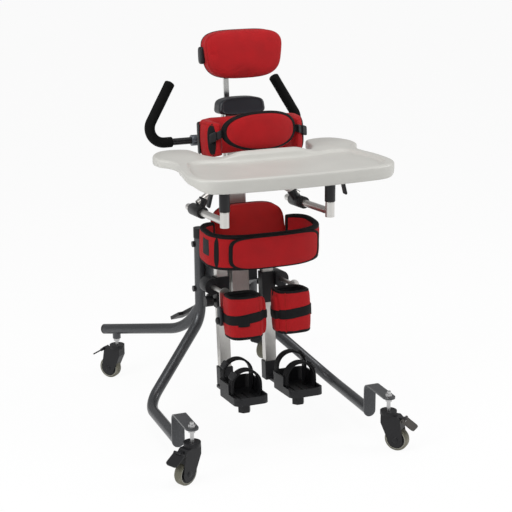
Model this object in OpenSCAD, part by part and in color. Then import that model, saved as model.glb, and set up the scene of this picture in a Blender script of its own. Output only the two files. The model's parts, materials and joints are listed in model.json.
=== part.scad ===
// Child's upright standing frame. A wheeled tube base carries a column that leans back,
// and the column carries the head, chest, hip, knee and foot supports, a tray and push handles.
// The front is -Y, left is -X as seen from the front, and the floor is Z = 0. Millimetres.

/* [Stance] */
// Distance between the front caster stems
track_front = 640; // [560:1:720]
// Distance between the rear caster stems
track_rear = 582; // [500:1:660]
// Distance from the front stems to the rear stems
wheelbase = 904; // [840:1:980]
// Backward lean of the column from upright, in degrees
lean = 5; // [1:0.5:10]
// Furthest backward lean that the tilt slot allows, in degrees
lean_max = 20; // [15:1:25]

/* [Base tubes] */
// Outer diameter of the base tubes
tube_d = 35; // [30:1:40]
// Wall of the base tubes
tube_wall = 2.5; // [1.5:0.5:4]
// Distance between the two posts, axis to axis
post_gap = 184; // [178:1:204]
// How far the posts stand behind the middle of the wheelbase
post_back = 120; // [110:1:132]
// Height of the post tops above the cross tube
post_rise = 244; // [230:1:270]
// Height of the corner where a post turns into its front leg
post_corner_h = 300; // [285:1:315]
// Bend radius of the front legs at the tube axis
leg_bend = 90; // [70:1:95]
// How far the lower corner of a front leg lies ahead of the middle of the wheelbase
leg_corner_ahead = 16; // [0:1:30]
// Drop from the front caster plate to the axis of the front tube
plate_drop = 91; // [80:1:100]
// Distance from a front stem back to the end of its tube
plate_reach = 135; // [115:1:150]
// Width of the front caster plates
plate_w = 40; // [34:1:46]
// Thickness of the front caster plates
plate_t = 5; // [4:0.5:8]
// Height where a rear leg leaves its post
branch_h = 345; // [340:1:355]
// Plan distance from a post to the corner of its rear leg
rear_corner_out = 66; // [60:1:80]
// Rise of that corner above the rear tube at the caster
rear_corner_rise = 68; // [60:1:76]
// Bend radius of the rear legs at the tube axis
rear_bend = 180; // [140:1:190]
// Rear tube past the caster stem
rear_overhang = 55; // [40:1:70]
// Height of the boss under each rear tube
boss_h = 18; // [14:1:26]
// Diameter of that boss
boss_d = 28; // [24:1:32]
// Diameter of the cross tube between the posts
cross_d = 25; // [20:1:28]
// Height of the cross tube
cross_h = 362; // [358:1:368]
// Height of the sleeve cap on each post
cap_h = 33; // [20:1:40]
// Wall of that cap outside the tube
cap_wall = 1.5; // [1:0.5:3]

/* [Casters] */
// Wheel diameter
wheel_d = 75; // [70:1:82]
// Wheel width
wheel_w = 26; // [22:1:30]
// Depth of the tyre tread
tread_t = 9; // [6:1:12]
// Trail of the wheel behind its stem
trail = 30; // [26:1:36]
// Height from the wheel axle to the top of the housing
housing_rise = 88; // [84:1:96]
// Diameter of the housing collar
collar_d = 52; // [46:1:56]
// Diameter of the housing cheeks round the axle
cheek_d = 48; // [44:1:56]
// Thickness of a housing cheek
cheek_t = 4; // [3:0.5:6]
// Gap between a wheel and each cheek
cheek_gap = 1.2; // [1:0.1:3]
// Axle diameter
axle_d = 10; // [8:1:12]
// Stem diameter
stem_d = 12; // [10:1:14]
// Clear height between a rear housing and the boss above it
stem_gap = 24; // [18:1:30]
// Clear height between a front housing and the plate above it
plate_gap = 40; // [34:1:46]
// Length of a brake pedal from its pin
pedal_len = 46; // [38:1:50]
// Slope of a brake pedal below level, in degrees
pedal_slope = 32; // [28:1:38]
// Direction in which the front left wheel trails, in degrees from +X
turn_front_left = 207; // [0:1:360]
// Direction in which the front right wheel trails
turn_front_right = 312; // [0:1:360]
// Direction in which the rear left wheel trails
turn_rear_left = 132; // [0:1:360]
// Direction in which the rear right wheel trails
turn_rear_right = 207; // [0:1:360]

/* [Column] */
// Width of the column extrusion
column_w = 56; // [50:1:60]
// Depth of the column extrusion
column_d = 44; // [40:1:50]
// Wall of the column front and back
column_wall = 4; // [3:0.5:6]
// Width of the guide groove in each side of the column
groove_w = 10; // [8:1:12]
// Depth of that groove
groove_depth = 5; // [4:0.5:6]
// Column face ahead of the post axis
column_ahead = 129; // [122:1:136]
// Height of the column foot above the cross tube
column_clear = 23; // [18:1:30]
// Height of the column top
column_top = 1010; // [1004:1:1030]
// Distance from the post tops down to the tilt pivot
pivot_drop = 49; // [42:1:56]
// Height of the lock bolts above the cross tube
lock_rise = 43; // [38:1:48]
// Diameter of the pivot and lock bolts
bolt_d = 10; // [8:1:12]
// Thickness of the carrier plate
carrier_t = 5; // [4:0.5:7]
// Gap between a carrier flange and its post
carrier_gap = 0.5; // [0.5:0.5:3]

/* [Legs and feet] */
// Distance between the two leg poles, axis to axis
pole_gap = 156; // [150:1:170]
// Width of a leg pole
pole_w = 36; // [32:1:40]
// Depth of a leg pole
pole_d = 28; // [24:1:32]
// Wall of a leg pole
pole_wall = 2.5; // [2:0.5:4]
// Height of the pole feet
pole_foot = 128; // [120:1:140]
// Height of the pole tops
pole_top = 570; // [560:1:580]
// Thickness of the beam between the column and the poles
beam_t = 15; // [12:1:20]
// Height of that beam
beam_h = 50; // [40:1:60]
// Distance between the middles of the two sandals
sandal_gap = 181; // [176:1:200]
// Sandal width
sandal_w = 110; // [96:1:116]
// Sandal length
sandal_len = 160; // [150:1:190]
// Sandal sole thickness
sole_t = 12; // [10:1:16]
// Sandal toe ahead of the pole axis
toe_ahead = 282; // [270:1:300]
// Radius of the strap hoops over the foot
hoop_r = 46; // [40:1:48]
// Height of the sides of the front strap hoop
front_rise = 38; // [26:1:46]
// Height of the sides of the ankle strap hoop
ankle_rise = 56; // [46:1:60]
// Width of the front strap hoop
hoop_w = 26; // [20:1:34]
// Strap thickness
strap_t = 3; // [2:0.5:4]
// Height of the foot sleeve on the pole
foot_sleeve_h = 62; // [50:1:70]
// Thickness of the bar under a sandal
foot_bar_t = 10; // [8:1:14]
// Diameter of the knob under a sandal
foot_knob_d = 40; // [34:1:46]

/* [Knee supports] */
// Height of the knee clamp
knee_clamp_h = 451; // [446:1:456]
// Height of a knee clamp body
knee_sleeve_h = 100; // [90:1:106]
// Distance between the two knee rods
knee_rod_gap = 232; // [228:1:246]
// Diameter of the knee rods
knee_rod_d = 14; // [12:1:18]
// Diameter of the boss round a knee rod
knee_boss_d = 52; // [46:1:58]
// Length of that boss
knee_boss_len = 60; // [50:1:66]
// Distance between the middles of the knee cuffs
cuff_gap = 158; // [154:1:172]
// Height of the middle of a cuff
cuff_mid_h = 390; // [385:1:400]
// Cuff width
cuff_w = 112; // [104:1:120]
// Cuff depth
cuff_depth = 110; // [100:1:124]
// Cuff height
cuff_h = 130; // [110:1:136]
// Padding of a cuff
cuff_pad = 18; // [14:1:22]

/* [Hip support] */
// Height of the middle of the hip belt at its front
hip_h = 594; // [590:1:604]
// Width of the hip belt
hip_w = 372; // [350:1:396]
// Front of the hip belt ahead of the column face
hip_reach = 288; // [270:1:300]
// Height of the hip belt
hip_belt_h = 107; // [90:1:110]
// Tip of the hip belt, its ends up
hip_tip = 8; // [4:1:9]
// Padding of the hip belt
hip_belt_pad = 22; // [18:1:26]
// Width of the back pad
back_pad_w = 238; // [210:1:256]
// Height of the back pad
back_pad_h = 146; // [134:1:160]
// Padding of the back pad
back_pad_t = 50; // [40:1:54]
// Back of the back pad ahead of the column face
back_pad_ahead = 60; // [56:1:68]

/* [Chest support] */
// Height of the middle of the chest wrap
chest_h = 930; // [926:1:932]
// Width of the chest wrap
chest_w = 324; // [310:1:340]
// Height of the chest wrap
chest_wrap_h = 112; // [100:1:116]
// Padding of the chest wrap
chest_pad = 44; // [34:1:46]
// Back of the chest wrap ahead of the column face
chest_ahead = 56; // [50:1:60]
// Depth of the chest wrap along its side
chest_side = 140; // [124:1:150]
// Front of the chest panel ahead of the column face
panel_reach = 258; // [250:1:264]
// Width of the oval chest panel
panel_w = 238; // [220:1:260]
// Height of the oval chest panel
panel_h = 115; // [100:1:124]
// Padding of the chest panel
panel_t = 36; // [28:1:38]

/* [Tray] */
// Width of the tray across its ears
tray_w = 650; // [600:1:680]
// Front edge of the tray ahead of the tee posts
tray_ahead = 209; // [205:1:230]
// Depth of the tray from front edge to the back of its ears
tray_depth = 474; // [460:1:490]
// Height of the tray rim
tray_rim = 40; // [32:1:44]
// Rise of the lower rim edge along the sides and ears
side_rise = 16; // [10:1:20]
// Thickness of the tray walls
tray_wall = 4; // [3:0.5:6]
// Width of the raised border
tray_border = 26; // [20:1:34]
// Depth of the sunk panel
tray_sunk = 9; // [5:1:12]
// Half width of the cut-out for the body
cutout_half = 182; // [178:1:200]
// Depth of that cut-out from the back of the ears
cutout_depth = 180; // [168:1:186]
// Rise of the lip along the rear cut-out above the border
lip_rise = 18; // [10:1:22]
// Distance from the chest carriage down to the tray carriage
tray_below = 130; // [122:1:136]
// Distance between the two depth tubes of the tray
depth_gap = 336; // [320:1:356]
// Height of the depth tubes
depth_h = 705; // [700:1:714]
// Diameter of the depth tubes and of the tee posts
depth_d = 22; // [18:1:24]
// Tee posts ahead of the column face
tee_ahead = 342; // [330:1:356]
// Clamp centres ahead of the column face
clamp_ahead = 101; // [94:1:108]
// Length of an arm clamp
clamp_len = 90; // [80:1:100]
// Diameter of the arm tubes
arm_d = 22; // [18:1:25]
// Height from the depth tubes to the tray underside
tray_rise = 132; // [125:1:140]
// Diameter of the tray sockets
socket_d = 32; // [28:1:36]
// Length of the tray sockets
socket_len = 100; // [90:1:104]

/* [Headrest] */
// Width of the headrest pad
head_w = 252; // [225:1:270]
// Height of the headrest pad
head_h = 146; // [130:1:160]
// Padding of the headrest
head_t = 72; // [60:1:84]
// Height of the headrest pivot
head_pivot_h = 1175; // [1165:1:1195]
// Width of the headrest bar
bar_w = 17; // [15:1:22]
// Thickness of the headrest bar
bar_t = 8; // [6:1:10]
// Distance from the column back to the headrest bar axis
bar_back = 20; // [18:1:24]
// Forward crank of the headrest bar
bar_crank = 99; // [92:1:106]

/* [Push handles] */
// Height of the handle sleeve
handle_h = 900; // [896:1:906]
// Length of the handle sleeve
sleeve_len = 230; // [200:1:240]
// Diameter of the handle tube
handle_d = 22; // [20:1:25]
// Diameter of the foam grips
grip_d = 33; // [30:1:36]
// Half width to the corner of a handle
handle_half = 284; // [275:1:295]
// Half width to the tip of a handle
handle_tip_half = 176; // [160:1:190]
// Rise of the tip above the sleeve
handle_rise = 186; // [170:1:200]
// Bend radius of the handles at the tube axis
handle_bend = 46; // [40:1:52]
// Handle sleeve axis behind the column back
sleeve_back = 51; // [48:1:58]

/* [Foot pedal] */
// Length of the tilt pedal arm from the cross tube
tilt_pedal_len = 250; // [235:1:270]
// Width of its foot pad
tilt_pedal_w = 46; // [40:1:60]

/* [Fits] */
// Gap round pins and sliding tubes
fit = 0.1; // [0.05:0.05:0.3]
// Gap round sleeves that slide on the column and the poles
slide_fit = 0.3; // [0.2:0.1:0.6]
// Gap between soft pads and what they rest on
soft_fit = 0.4; // [0.2:0.1:0.8]

/* [Hidden] */
$fn = 48;
left = -1;
right = 1;

// Colours of the real finishes
paint_grey = [0.30, 0.31, 0.32];
silver = [0.76, 0.75, 0.73];
black_plastic = [0.09, 0.09, 0.10];
red_cloth = [0.66, 0.11, 0.14];
tray_grey = [0.80, 0.80, 0.77];
tyre_olive = [0.42, 0.42, 0.33];

// Heights of the wheel, stem and plate stack
wheel_r = wheel_d / 2;
tube_r = tube_d / 2;
housing_top = wheel_r + housing_rise;
plate_z = housing_top + plate_gap;
boss_z = housing_top + stem_gap;
front_tube_z = plate_z - plate_drop;
rear_tube_z = boss_z + boss_h + tube_r - 2;
post_x = post_gap / 2;
front_x = track_front / 2;
rear_x = track_rear / 2;
front_y = -wheelbase / 2;
rear_y = wheelbase / 2;
tube_end_y = front_y + plate_reach;
post_top = cross_h + post_rise;
pivot_h = post_top - pivot_drop;
lock_drop = pivot_h - cross_h - lock_rise;
column_foot = cross_h + column_clear;
tray_carriage_h = chest_h - tray_below;

// The leaning frame turns about the pivot bolts. Its own sizes are written upright.
pivot_y = post_back;
column_face = post_back - column_ahead;
column_back = column_face + column_d;
column_mid = column_face + column_d / 2;
flange_x = post_x - tube_r - carrier_gap - carrier_t;
pole_x = pole_gap / 2;
pole_y = column_face - beam_t - pole_d / 2;
sleeve_wall = 4;

function unit(v) = v / norm(v);
function lean_point(p) = [
    p.x,
    pivot_y + (p.y - pivot_y) * cos(lean) + (p.z - pivot_h) * sin(lean),
    pivot_h - (p.y - pivot_y) * sin(lean) + (p.z - pivot_h) * cos(lean)
];

// Shapes written upright, set at the lean of the column
module leaning() {
    translate([0, pivot_y, pivot_h]) rotate([-lean, 0, 0]) translate([0, -pivot_y, -pivot_h]) children();
}

// Columns of a turn that carries +Z onto a direction
function side_of(w) = unit(cross(abs(w.z) < 0.9 ? [0, 0, 1] : [1, 0, 0], w));
module along(start, end) {
    w = unit(end - start);
    u = side_of(w);
    v = cross(w, u);
    multmatrix([
        [u.x, v.x, w.x, start.x],
        [u.y, v.y, w.y, start.y],
        [u.z, v.z, w.z, start.z],
        [0, 0, 0, 1]
    ]) children();
}
module rod(start, end, r) {
    along(start, end) cylinder(r = r, h = norm(end - start));
}
module x_rod(x0, x1, y, z, r) {
    translate([x0, y, z]) rotate([0, 90, 0]) cylinder(r = r, h = x1 - x0);
}
module y_rod(y0, y1, x, z, r) {
    translate([x, y1, z]) rotate([90, 0, 0]) cylinder(r = r, h = y1 - y0);
}
module block(x0, x1, y0, y1, z0, z1) {
    translate([x0, y0, z0]) cube([x1 - x0, y1 - y0, z1 - z0]);
}
// A plate drawn in side view, y to the right and z up, between two x values
module side_plate(x0, x1) {
    translate([x0, 0, 0]) rotate([90, 0, 90]) linear_extrude(x1 - x0) children();
}

// A round bar along corner points, with one arc of the bend radius at each inner corner
function turn_at(p, i) = acos(unit(p[i] - p[i - 1]) * unit(p[i + 1] - p[i]));
function trim_at(p, i, bend) = (i == 0 || i == len(p) - 1) ? 0 : bend * tan(turn_at(p, i) / 2);
// The bends are drawn a hair fuller than the runs, and each run ends inside its bend
bend_step = 0.1;
bend_lap = 2;
module bent_bar(p, bend, r, over = 0) {
    last = len(p) - 1;
    for (i = [0 : last - 1]) {
        u = unit(p[i + 1] - p[i]);
        from = i == 0 ? -over : trim_at(p, i, bend) - bend_lap;
        short = i == last - 1 ? -over : trim_at(p, i + 1, bend) - bend_lap;
        rod(p[i] + u * from, p[i + 1] - u * short, r);
    }
    for (i = [1 : last - 1]) {
        u = unit(p[i] - p[i - 1]);
        w = unit(p[i + 1] - p[i]);
        n = unit(w - u * (w * u));
        c = p[i] - u * trim_at(p, i, bend) + n * bend;
        s = cross(u, n);
        multmatrix([
            [-n.x, u.x, s.x, c.x],
            [-n.y, u.y, s.y, c.y],
            [-n.z, u.z, s.z, c.z],
            [0, 0, 0, 1]
        ]) rotate_extrude(angle = turn_at(p, i)) translate([bend, 0]) circle(r = r + bend_step);
    }
}

// Soft forms are rings of points joined by triangles
function power_wave(t, power) = sign(t) * pow(abs(t), 2 / power);
function oval(a, b, power, steps) = [
    for (i = [0 : steps - 1])
        let (t = 360 * i / steps) [a * power_wave(cos(t), power), b * power_wave(sin(t), power)]
];
module ring_solid(rings, looped = false) {
    n = len(rings[0]);
    m = len(rings);
    points = [for (ring = rings) for (q = ring) q];
    spans = looped ? m : m - 1;
    sides = [
        for (j = [0 : spans - 1]) for (i = [0 : n - 1])
            let (a = j * n + i, b = j * n + (i + 1) % n, c = ((j + 1) % m) * n)
                each [[a, c + i, b], [b, c + i, c + (i + 1) % n]]
    ];
    ends = looped ? [] : [
        for (i = [1 : n - 2]) each [[0, i, i + 1], [(m - 1) * n, (m - 1) * n + i + 1, (m - 1) * n + i]]
    ];
    polyhedron(points = points, faces = concat(sides, ends));
}
// A cushion faces -Y: its outline in x and z is scaled ring by ring from back to front
module cushion(outline, profile) {
    ring_solid([for (p = profile) [for (q = outline) [q.x * p[0], p[1], q.y * p[0]]]]);
}
// Profile of a cushion: flat back, drawn-in sides and a crowned front
function cushion_profile(t, crown) = [
    [0.80, t / 2], [0.955, t / 2 - 2], [1, t / 2 - 0.18 * t], [0.985, 0], [1, -t / 2 + crown + 0.12 * t],
    [0.965, -t / 2 + 0.62 * crown], [0.86, -t / 2 + 0.30 * crown], [0.66, -t / 2 + 0.10 * crown],
    [0.34, -t / 2 + 0.02 * crown], [0.08, -t / 2]
];
// A padded band upright along a plan path, fuller in the middle and drawn in at its ends
module band(path, half_t, half_h, power, steps, looped = false) {
    m = len(path);
    rings = [
        for (j = [0 : m - 1])
            let (
                before = path[looped ? (j + m - 1) % m : max(j - 1, 0)],
                after = path[looped ? (j + 1) % m : min(j + 1, m - 1)],
                d = unit(after - before),
                s = looped ? 0 : abs(2 * j / (m - 1) - 1),
                fill = 1 - 0.42 * pow(s, 14),
                tall = 1 - 0.16 * pow(s, 8)
            )
            [for (q = oval(half_t * fill, half_h * tall, power, steps))
                [path[j].x - d.y * q.x, path[j].y + d.x * q.x, q.y]]
    ];
    ring_solid(rings, looped);
}
// Plan path on an oval: the angle is measured from the middle of the back
function oval_path(a, b, y_mid, power, from, to, steps) = [
    for (i = [0 : steps])
        let (t = from + (to - from) * i / steps)
            [a * power_wave(sin(t), power), y_mid + b * power_wave(cos(t), power)]
];

// Base frame
function front_path(side) = [
    [side * post_x, post_back, post_top],
    [side * post_x, post_back, post_corner_h],
    [side * front_x, -leg_corner_ahead, front_tube_z],
    [side * front_x, tube_end_y, front_tube_z]
];
function rear_unit(side) = unit([side * (rear_x - post_x), rear_y - post_back, 0]);
function rear_corner(side) =
    [side * post_x, post_back, 0] + rear_unit(side) * rear_corner_out
    + [0, 0, rear_tube_z + rear_corner_rise];
function rear_stem(side) = [side * rear_x, rear_y, rear_tube_z];
function rear_run(side) = unit(rear_stem(side) - rear_corner(side));
function rear_end(side) = rear_stem(side) + rear_run(side) * rear_overhang;
function rear_path(side) = [[side * post_x, post_back, branch_h], rear_corner(side), rear_end(side)];

module bolt_holes(side) {
    for (z = [pivot_h, pivot_h - lock_drop])
        x_rod(side * post_x - tube_d, side * post_x + tube_d, post_back, z, bolt_d / 2 + fit);
}
// Bent plate welded to the tube end: an upright leg and a level leg that holds the stem
module plate_corner(inset) {
    bend = 25;
    back = tube_end_y - inset;
    top = plate_z + plate_t - inset;
    foot = front_tube_z - inset;
    nose = front_y - inset;
    translate([nose, foot]) square([tube_end_y - bend - nose, top - foot]);
    translate([nose, foot]) square([back - nose, plate_z + plate_t - bend - foot]);
    translate([tube_end_y - bend, plate_z + plate_t - bend]) circle(r = bend - inset);
}
module caster_plate(side) {
    x = side * front_x;
    y_rod(tube_end_y - plate_t, tube_end_y, x, front_tube_z, plate_w / 2);
    side_plate(x - plate_w / 2, x + plate_w / 2) difference() {
        plate_corner(0);
        plate_corner(plate_t);
    }
    translate([x, front_y, plate_z]) cylinder(d = plate_w, h = plate_t);
}
module front_leg(side) {
    color(paint_grey) difference() {
        union() {
            bent_bar(front_path(side), leg_bend, tube_r);
            caster_plate(side);
        }
        difference() {
            bent_bar(front_path(side), leg_bend, tube_r - tube_wall, 1);
            caster_plate(side);
        }
        bolt_holes(side);
        translate([side * front_x, front_y, plate_z - 1]) cylinder(d = stem_d + 2 * fit, h = plate_t + 2);
    }
}
module front_leg_left() front_leg(left);
module front_leg_right() front_leg(right);

// The rear leg is cut to the round of its post
module rear_leg(side) {
    stem = rear_stem(side);
    color(paint_grey) difference() {
        union() {
            bent_bar(rear_path(side), rear_bend, tube_r);
            translate([stem.x, stem.y, boss_z]) cylinder(d = boss_d, h = rear_tube_z - boss_z);
        }
        bent_bar(rear_path(side), rear_bend, tube_r - tube_wall, 1);
        bent_bar(front_path(side), leg_bend, tube_r + fit);
        translate([stem.x, stem.y, boss_z - 1]) cylinder(d = stem_d + 2 * fit, h = boss_h);
    }
}
module rear_leg_left() rear_leg(left);
module rear_leg_right() mirror([1, 0, 0]) rear_leg_left();

module cross_tube() {
    color(paint_grey) difference() {
        x_rod(-post_x, post_x, post_back, cross_h, cross_d / 2);
        x_rod(-post_x, post_x, post_back, cross_h, cross_d / 2 - tube_wall);
        for (side = [left, right])
            translate([side * post_x, post_back, cross_h - cross_d]) cylinder(r = tube_r, h = 2 * cross_d);
    }
}

// Sleeve caps on the posts and round plugs in the rear tube ends
module tube_caps() {
    plug_out = 5;
    plug_in = 18;
    color(black_plastic) for (side = [left, right]) {
        translate([side * post_x, post_back, post_top - cap_h + plug_out]) difference() {
            cylinder(r = tube_r + cap_wall, h = cap_h);
            translate([0, 0, -1]) cylinder(r = tube_r + fit / 2, h = cap_h - plug_out + 1);
        }
        end = rear_end(side);
        run = rear_run(side);
        rod(end, end + run * plug_out, tube_r);
        rod(end - run * plug_in, end, tube_r - tube_wall - fit / 2);
    }
}

// Threaded stems with their nuts, fixed in the plates and bosses
module caster_stems() {
    nut_af = 1.6 * stem_d;
    nut_h = 0.8 * stem_d;
    seat = 22;
    color(silver) for (side = [left, right]) {
        translate([side * front_x, front_y, 0]) {
            translate([0, 0, housing_top - seat])
                cylinder(d = stem_d, h = plate_z + plate_t + nut_h + 8 - housing_top + seat);
            translate([0, 0, plate_z - nut_h]) cylinder(d = nut_af / cos(30), h = nut_h, $fn = 6);
            translate([0, 0, plate_z + plate_t]) cylinder(d = nut_af / cos(30), h = nut_h, $fn = 6);
        }
        translate([side * rear_x, rear_y, 0]) {
            translate([0, 0, housing_top - seat])
                cylinder(d = stem_d, h = boss_z + boss_h - 2 - housing_top + seat);
            translate([0, 0, boss_z - nut_h]) cylinder(d = nut_af / cos(30), h = nut_h, $fn = 6);
        }
    }
}

// Pivot bolts above and lock bolts below, with heads outside the posts and nuts inside the flanges
module pivot_bolts() {
    head_d = 2 * bolt_d;
    head_h = 0.7 * bolt_d;
    inner = flange_x - slide_fit;
    outer = post_x + tube_r;
    color(black_plastic) for (side = [left, right]) for (z = [pivot_h, pivot_h - lock_drop]) {
        translate([0, post_back, z]) rotate([0, side * 90, 0]) {
            translate([0, 0, inner - head_h]) cylinder(d = bolt_d, h = outer - inner + 2 * head_h);
            translate([0, 0, outer]) cylinder(d = head_d, h = head_h);
            translate([0, 0, inner - head_h]) cylinder(d = head_d, h = head_h);
        }
    }
}

// Casters are written with the stem on the Z axis and the wheel trailing along +X
brake_pin = [trail + 22, wheel_r + 66];
brake_lug = 6;
brake_ear = 5;
brake_pin_d = 5;
lug_half = 8;
brake_half = 22;
fork_w = wheel_w + 2 * (cheek_gap + cheek_t);
module at_caster(x, y, turn) translate([x, y, 0]) rotate([0, 0, turn]) children();
module at_wheel() translate([trail, 0, wheel_r]) rotate([90, 0, 0]) children();
module fork() {
    cheek_r = cheek_d / 2;
    body_top = housing_top - 12;
    body_front = 7 - collar_d / 2;
    body_back = brake_pin.x - brake_ear - 3;
    pocket_w = wheel_w + 2 * cheek_gap;
    color(black_plastic) {
        difference() {
            union() {
                translate([0, 0, body_top]) cylinder(d = collar_d, h = housing_top - body_top);
                rotate([90, 0, 0]) linear_extrude(fork_w, center = true) {
                    polygon([
                        [body_front, body_top],
                        [body_back - 10, body_top],
                        [body_back, body_top - 10],
                        [trail + cheek_r, wheel_r + 4],
                        [trail - cheek_r, wheel_r - 4],
                        [body_front, body_top - 26]
                    ]);
                    translate([trail, wheel_r]) circle(d = cheek_d);
                }
                rotate([90, 0, 0]) linear_extrude(2 * lug_half, center = true) {
                    translate(brake_pin) circle(r = brake_lug);
                    translate([body_back - 8, brake_pin.y - brake_lug])
                        square([brake_pin.x - body_back + 8, 2 * brake_lug]);
                }
            }
            at_wheel() cylinder(r = wheel_r + 2.5, h = pocket_w, center = true);
            block(trail, trail + 2 * wheel_d, -pocket_w / 2, pocket_w / 2, -1, wheel_r);
            translate([0, 0, housing_top - 24]) cylinder(d = stem_d + 2 * fit, h = 25);
        }
        at_wheel() cylinder(d = axle_d, h = fork_w - 1, center = true);
        translate([brake_pin.x, 0, brake_pin.y]) rotate([90, 0, 0])
            cylinder(d = brake_pin_d, h = 2 * brake_half - 2, center = true);
    }
}
module hub() {
    color(black_plastic) at_wheel() difference() {
        cylinder(r = wheel_r - tread_t, h = wheel_w - 2, center = true);
        cylinder(d = axle_d + 2 * fit, h = wheel_w, center = true);
    }
}
module tyre() {
    half = wheel_w / 2;
    round = 6;
    color(tyre_olive) at_wheel() rotate_extrude() {
        translate([wheel_r - tread_t, -half]) square([tread_t - round, wheel_w]);
        translate([wheel_r - round, -half + round]) square([round, wheel_w - 2 * round]);
        for (y = [-half + round, half - round])
            intersection() {
                translate([wheel_r - round, y]) circle(r = round);
                translate([wheel_r - round, y - round]) square([round, 2 * round]);
            }
    }
}
// A wide flat pedal with two ears on the brake pin
module brake() {
    plate = 4.5;
    corner = 10;
    start = brake_lug + 1;
    color(black_plastic) translate([brake_pin.x, 0, brake_pin.y]) difference() {
        rotate([0, pedal_slope, 0]) union() {
            for (side = [left, right]) {
                translate([0, side * (brake_half + lug_half + slide_fit) / 2, 0]) rotate([90, 0, 0])
                    cylinder(r = brake_ear, h = brake_half - lug_half - slide_fit, center = true);
                translate([0, side > 0 ? lug_half + slide_fit : -brake_half, -plate / 2])
                    cube([start + 1, brake_half - lug_half - slide_fit, plate]);
                translate([pedal_len - corner, side * (brake_half - corner), -plate / 2])
                    cylinder(r = corner, h = plate);
            }
            translate([start, -brake_half, -plate / 2])
                cube([pedal_len - corner - start, 2 * brake_half, plate]);
            translate([start, corner - brake_half, -plate / 2])
                cube([pedal_len - start, 2 * (brake_half - corner), plate]);
        }
        rotate([90, 0, 0]) cylinder(d = brake_pin_d + 2 * fit, h = fork_w + 20, center = true);
    }
}
module fork_front_left() at_caster(-front_x, front_y, turn_front_left) fork();
module fork_front_right() at_caster(front_x, front_y, turn_front_right) fork();
module fork_rear_left() at_caster(-rear_x, rear_y, turn_rear_left) fork();
module fork_rear_right() at_caster(rear_x, rear_y, turn_rear_right) fork();
module hub_front_left() at_caster(-front_x, front_y, turn_front_left) hub();
module hub_front_right() at_caster(front_x, front_y, turn_front_right) hub();
module hub_rear_left() at_caster(-rear_x, rear_y, turn_rear_left) hub();
module hub_rear_right() at_caster(rear_x, rear_y, turn_rear_right) hub();
module tyre_front_left() at_caster(-front_x, front_y, turn_front_left) tyre();
module tyre_front_right() at_caster(front_x, front_y, turn_front_right) tyre();
module tyre_rear_left() at_caster(-rear_x, rear_y, turn_rear_left) tyre();
module tyre_rear_right() at_caster(rear_x, rear_y, turn_rear_right) tyre();
module brake_front_left() at_caster(-front_x, front_y, turn_front_left) brake();
module brake_front_right() at_caster(front_x, front_y, turn_front_right) brake();
module brake_rear_left() at_caster(-rear_x, rear_y, turn_rear_left) brake();
module brake_rear_right() at_caster(rear_x, rear_y, turn_rear_right) brake();

// Foot pedal on a sleeve that turns on the cross tube
module tilt_pedal() {
    hub_x0 = -post_x + tube_r + 9;
    hub_x1 = hub_x0 + 22;
    hub_r = cross_d / 2 + 6;
    drop = 28;
    splay = 9;
    arm = [-sin(splay) * cos(drop), cos(splay) * cos(drop), -sin(drop)];
    start = [(hub_x0 + hub_x1) / 2, post_back, cross_h];
    pad = start + arm * tilt_pedal_len;
    color(black_plastic) difference() {
        union() {
            x_rod(hub_x0, hub_x1, post_back, cross_h, hub_r);
            rod(start, pad, 8);
            translate(pad) rotate([-drop, 0, splay]) translate([-tilt_pedal_w / 2, -30, -6])
                cube([tilt_pedal_w, 70, 12]);
        }
        x_rod(hub_x0 - 1, hub_x1 + 1, post_back, cross_h, cross_d / 2 + fit);
    }
}

// Column and what is fixed to it
module column_outline(grow) {
    square([column_w + 2 * grow, column_d + 2 * grow], center = true);
}
module column() {
    line_x = column_w / 2 - 8;
    color(silver) leaning() translate([0, column_mid, column_foot]) linear_extrude(column_top - column_foot)
        difference() {
            column_outline(0);
            square([column_w - 2 * (column_wall + groove_depth), column_d - 2 * column_wall], center = true);
            for (side = [left, right]) {
                translate([side * column_w / 2, 0]) square([2 * groove_depth, groove_w], center = true);
                translate([side * line_x, -column_d / 2]) square([2, 2], center = true);
            }
        }
}

// Bent plate behind the column: a web on the column and two flanges out to the pivot bolts
carrier_foot = column_foot + 20;
carrier_top = pivot_h + 15;
flange_out = 20;
module flange_outline() {
    translate([pivot_y, pivot_h]) circle(r = flange_out);
    polygon([
        [column_back, carrier_foot + 30],
        [column_back, carrier_top - 20],
        [pivot_y, pivot_h + flange_out],
        [pivot_y + flange_out, pivot_h],
        [pivot_y + flange_out, pivot_h - lock_drop],
        [pivot_y - flange_out, pivot_h - lock_drop]
    ]);
    translate([pivot_y, pivot_h]) rotate([0, 0, -93]) ring_sector(lock_drop, 15, lean_max + 8);
}
module ring_sector(r, half, angle) {
    points = [for (i = [0 : 12]) let (t = angle * i / 12) [(r + half) * cos(t), (r + half) * sin(t)]];
    inner = [for (i = [12 : -1 : 0]) let (t = angle * i / 12) [(r - half) * cos(t), (r - half) * sin(t)]];
    polygon(concat(points, inner));
}
module lock_slot(x0, x1) {
    margin = 1;
    slot_r = bolt_d / 2 + 2 * fit;
    translate([x0, pivot_y, pivot_h]) rotate([0, 90, 0]) rotate([0, 0, -margin])
        rotate_extrude(angle = lean_max + 2 * margin) translate([lock_drop - slot_r, 0])
            square([2 * slot_r, x1 - x0]);
    for (a = [-margin, lean_max + margin])
        x_rod(x0, x1, pivot_y + lock_drop * sin(a), pivot_h - lock_drop * cos(a), slot_r);
}
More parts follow.
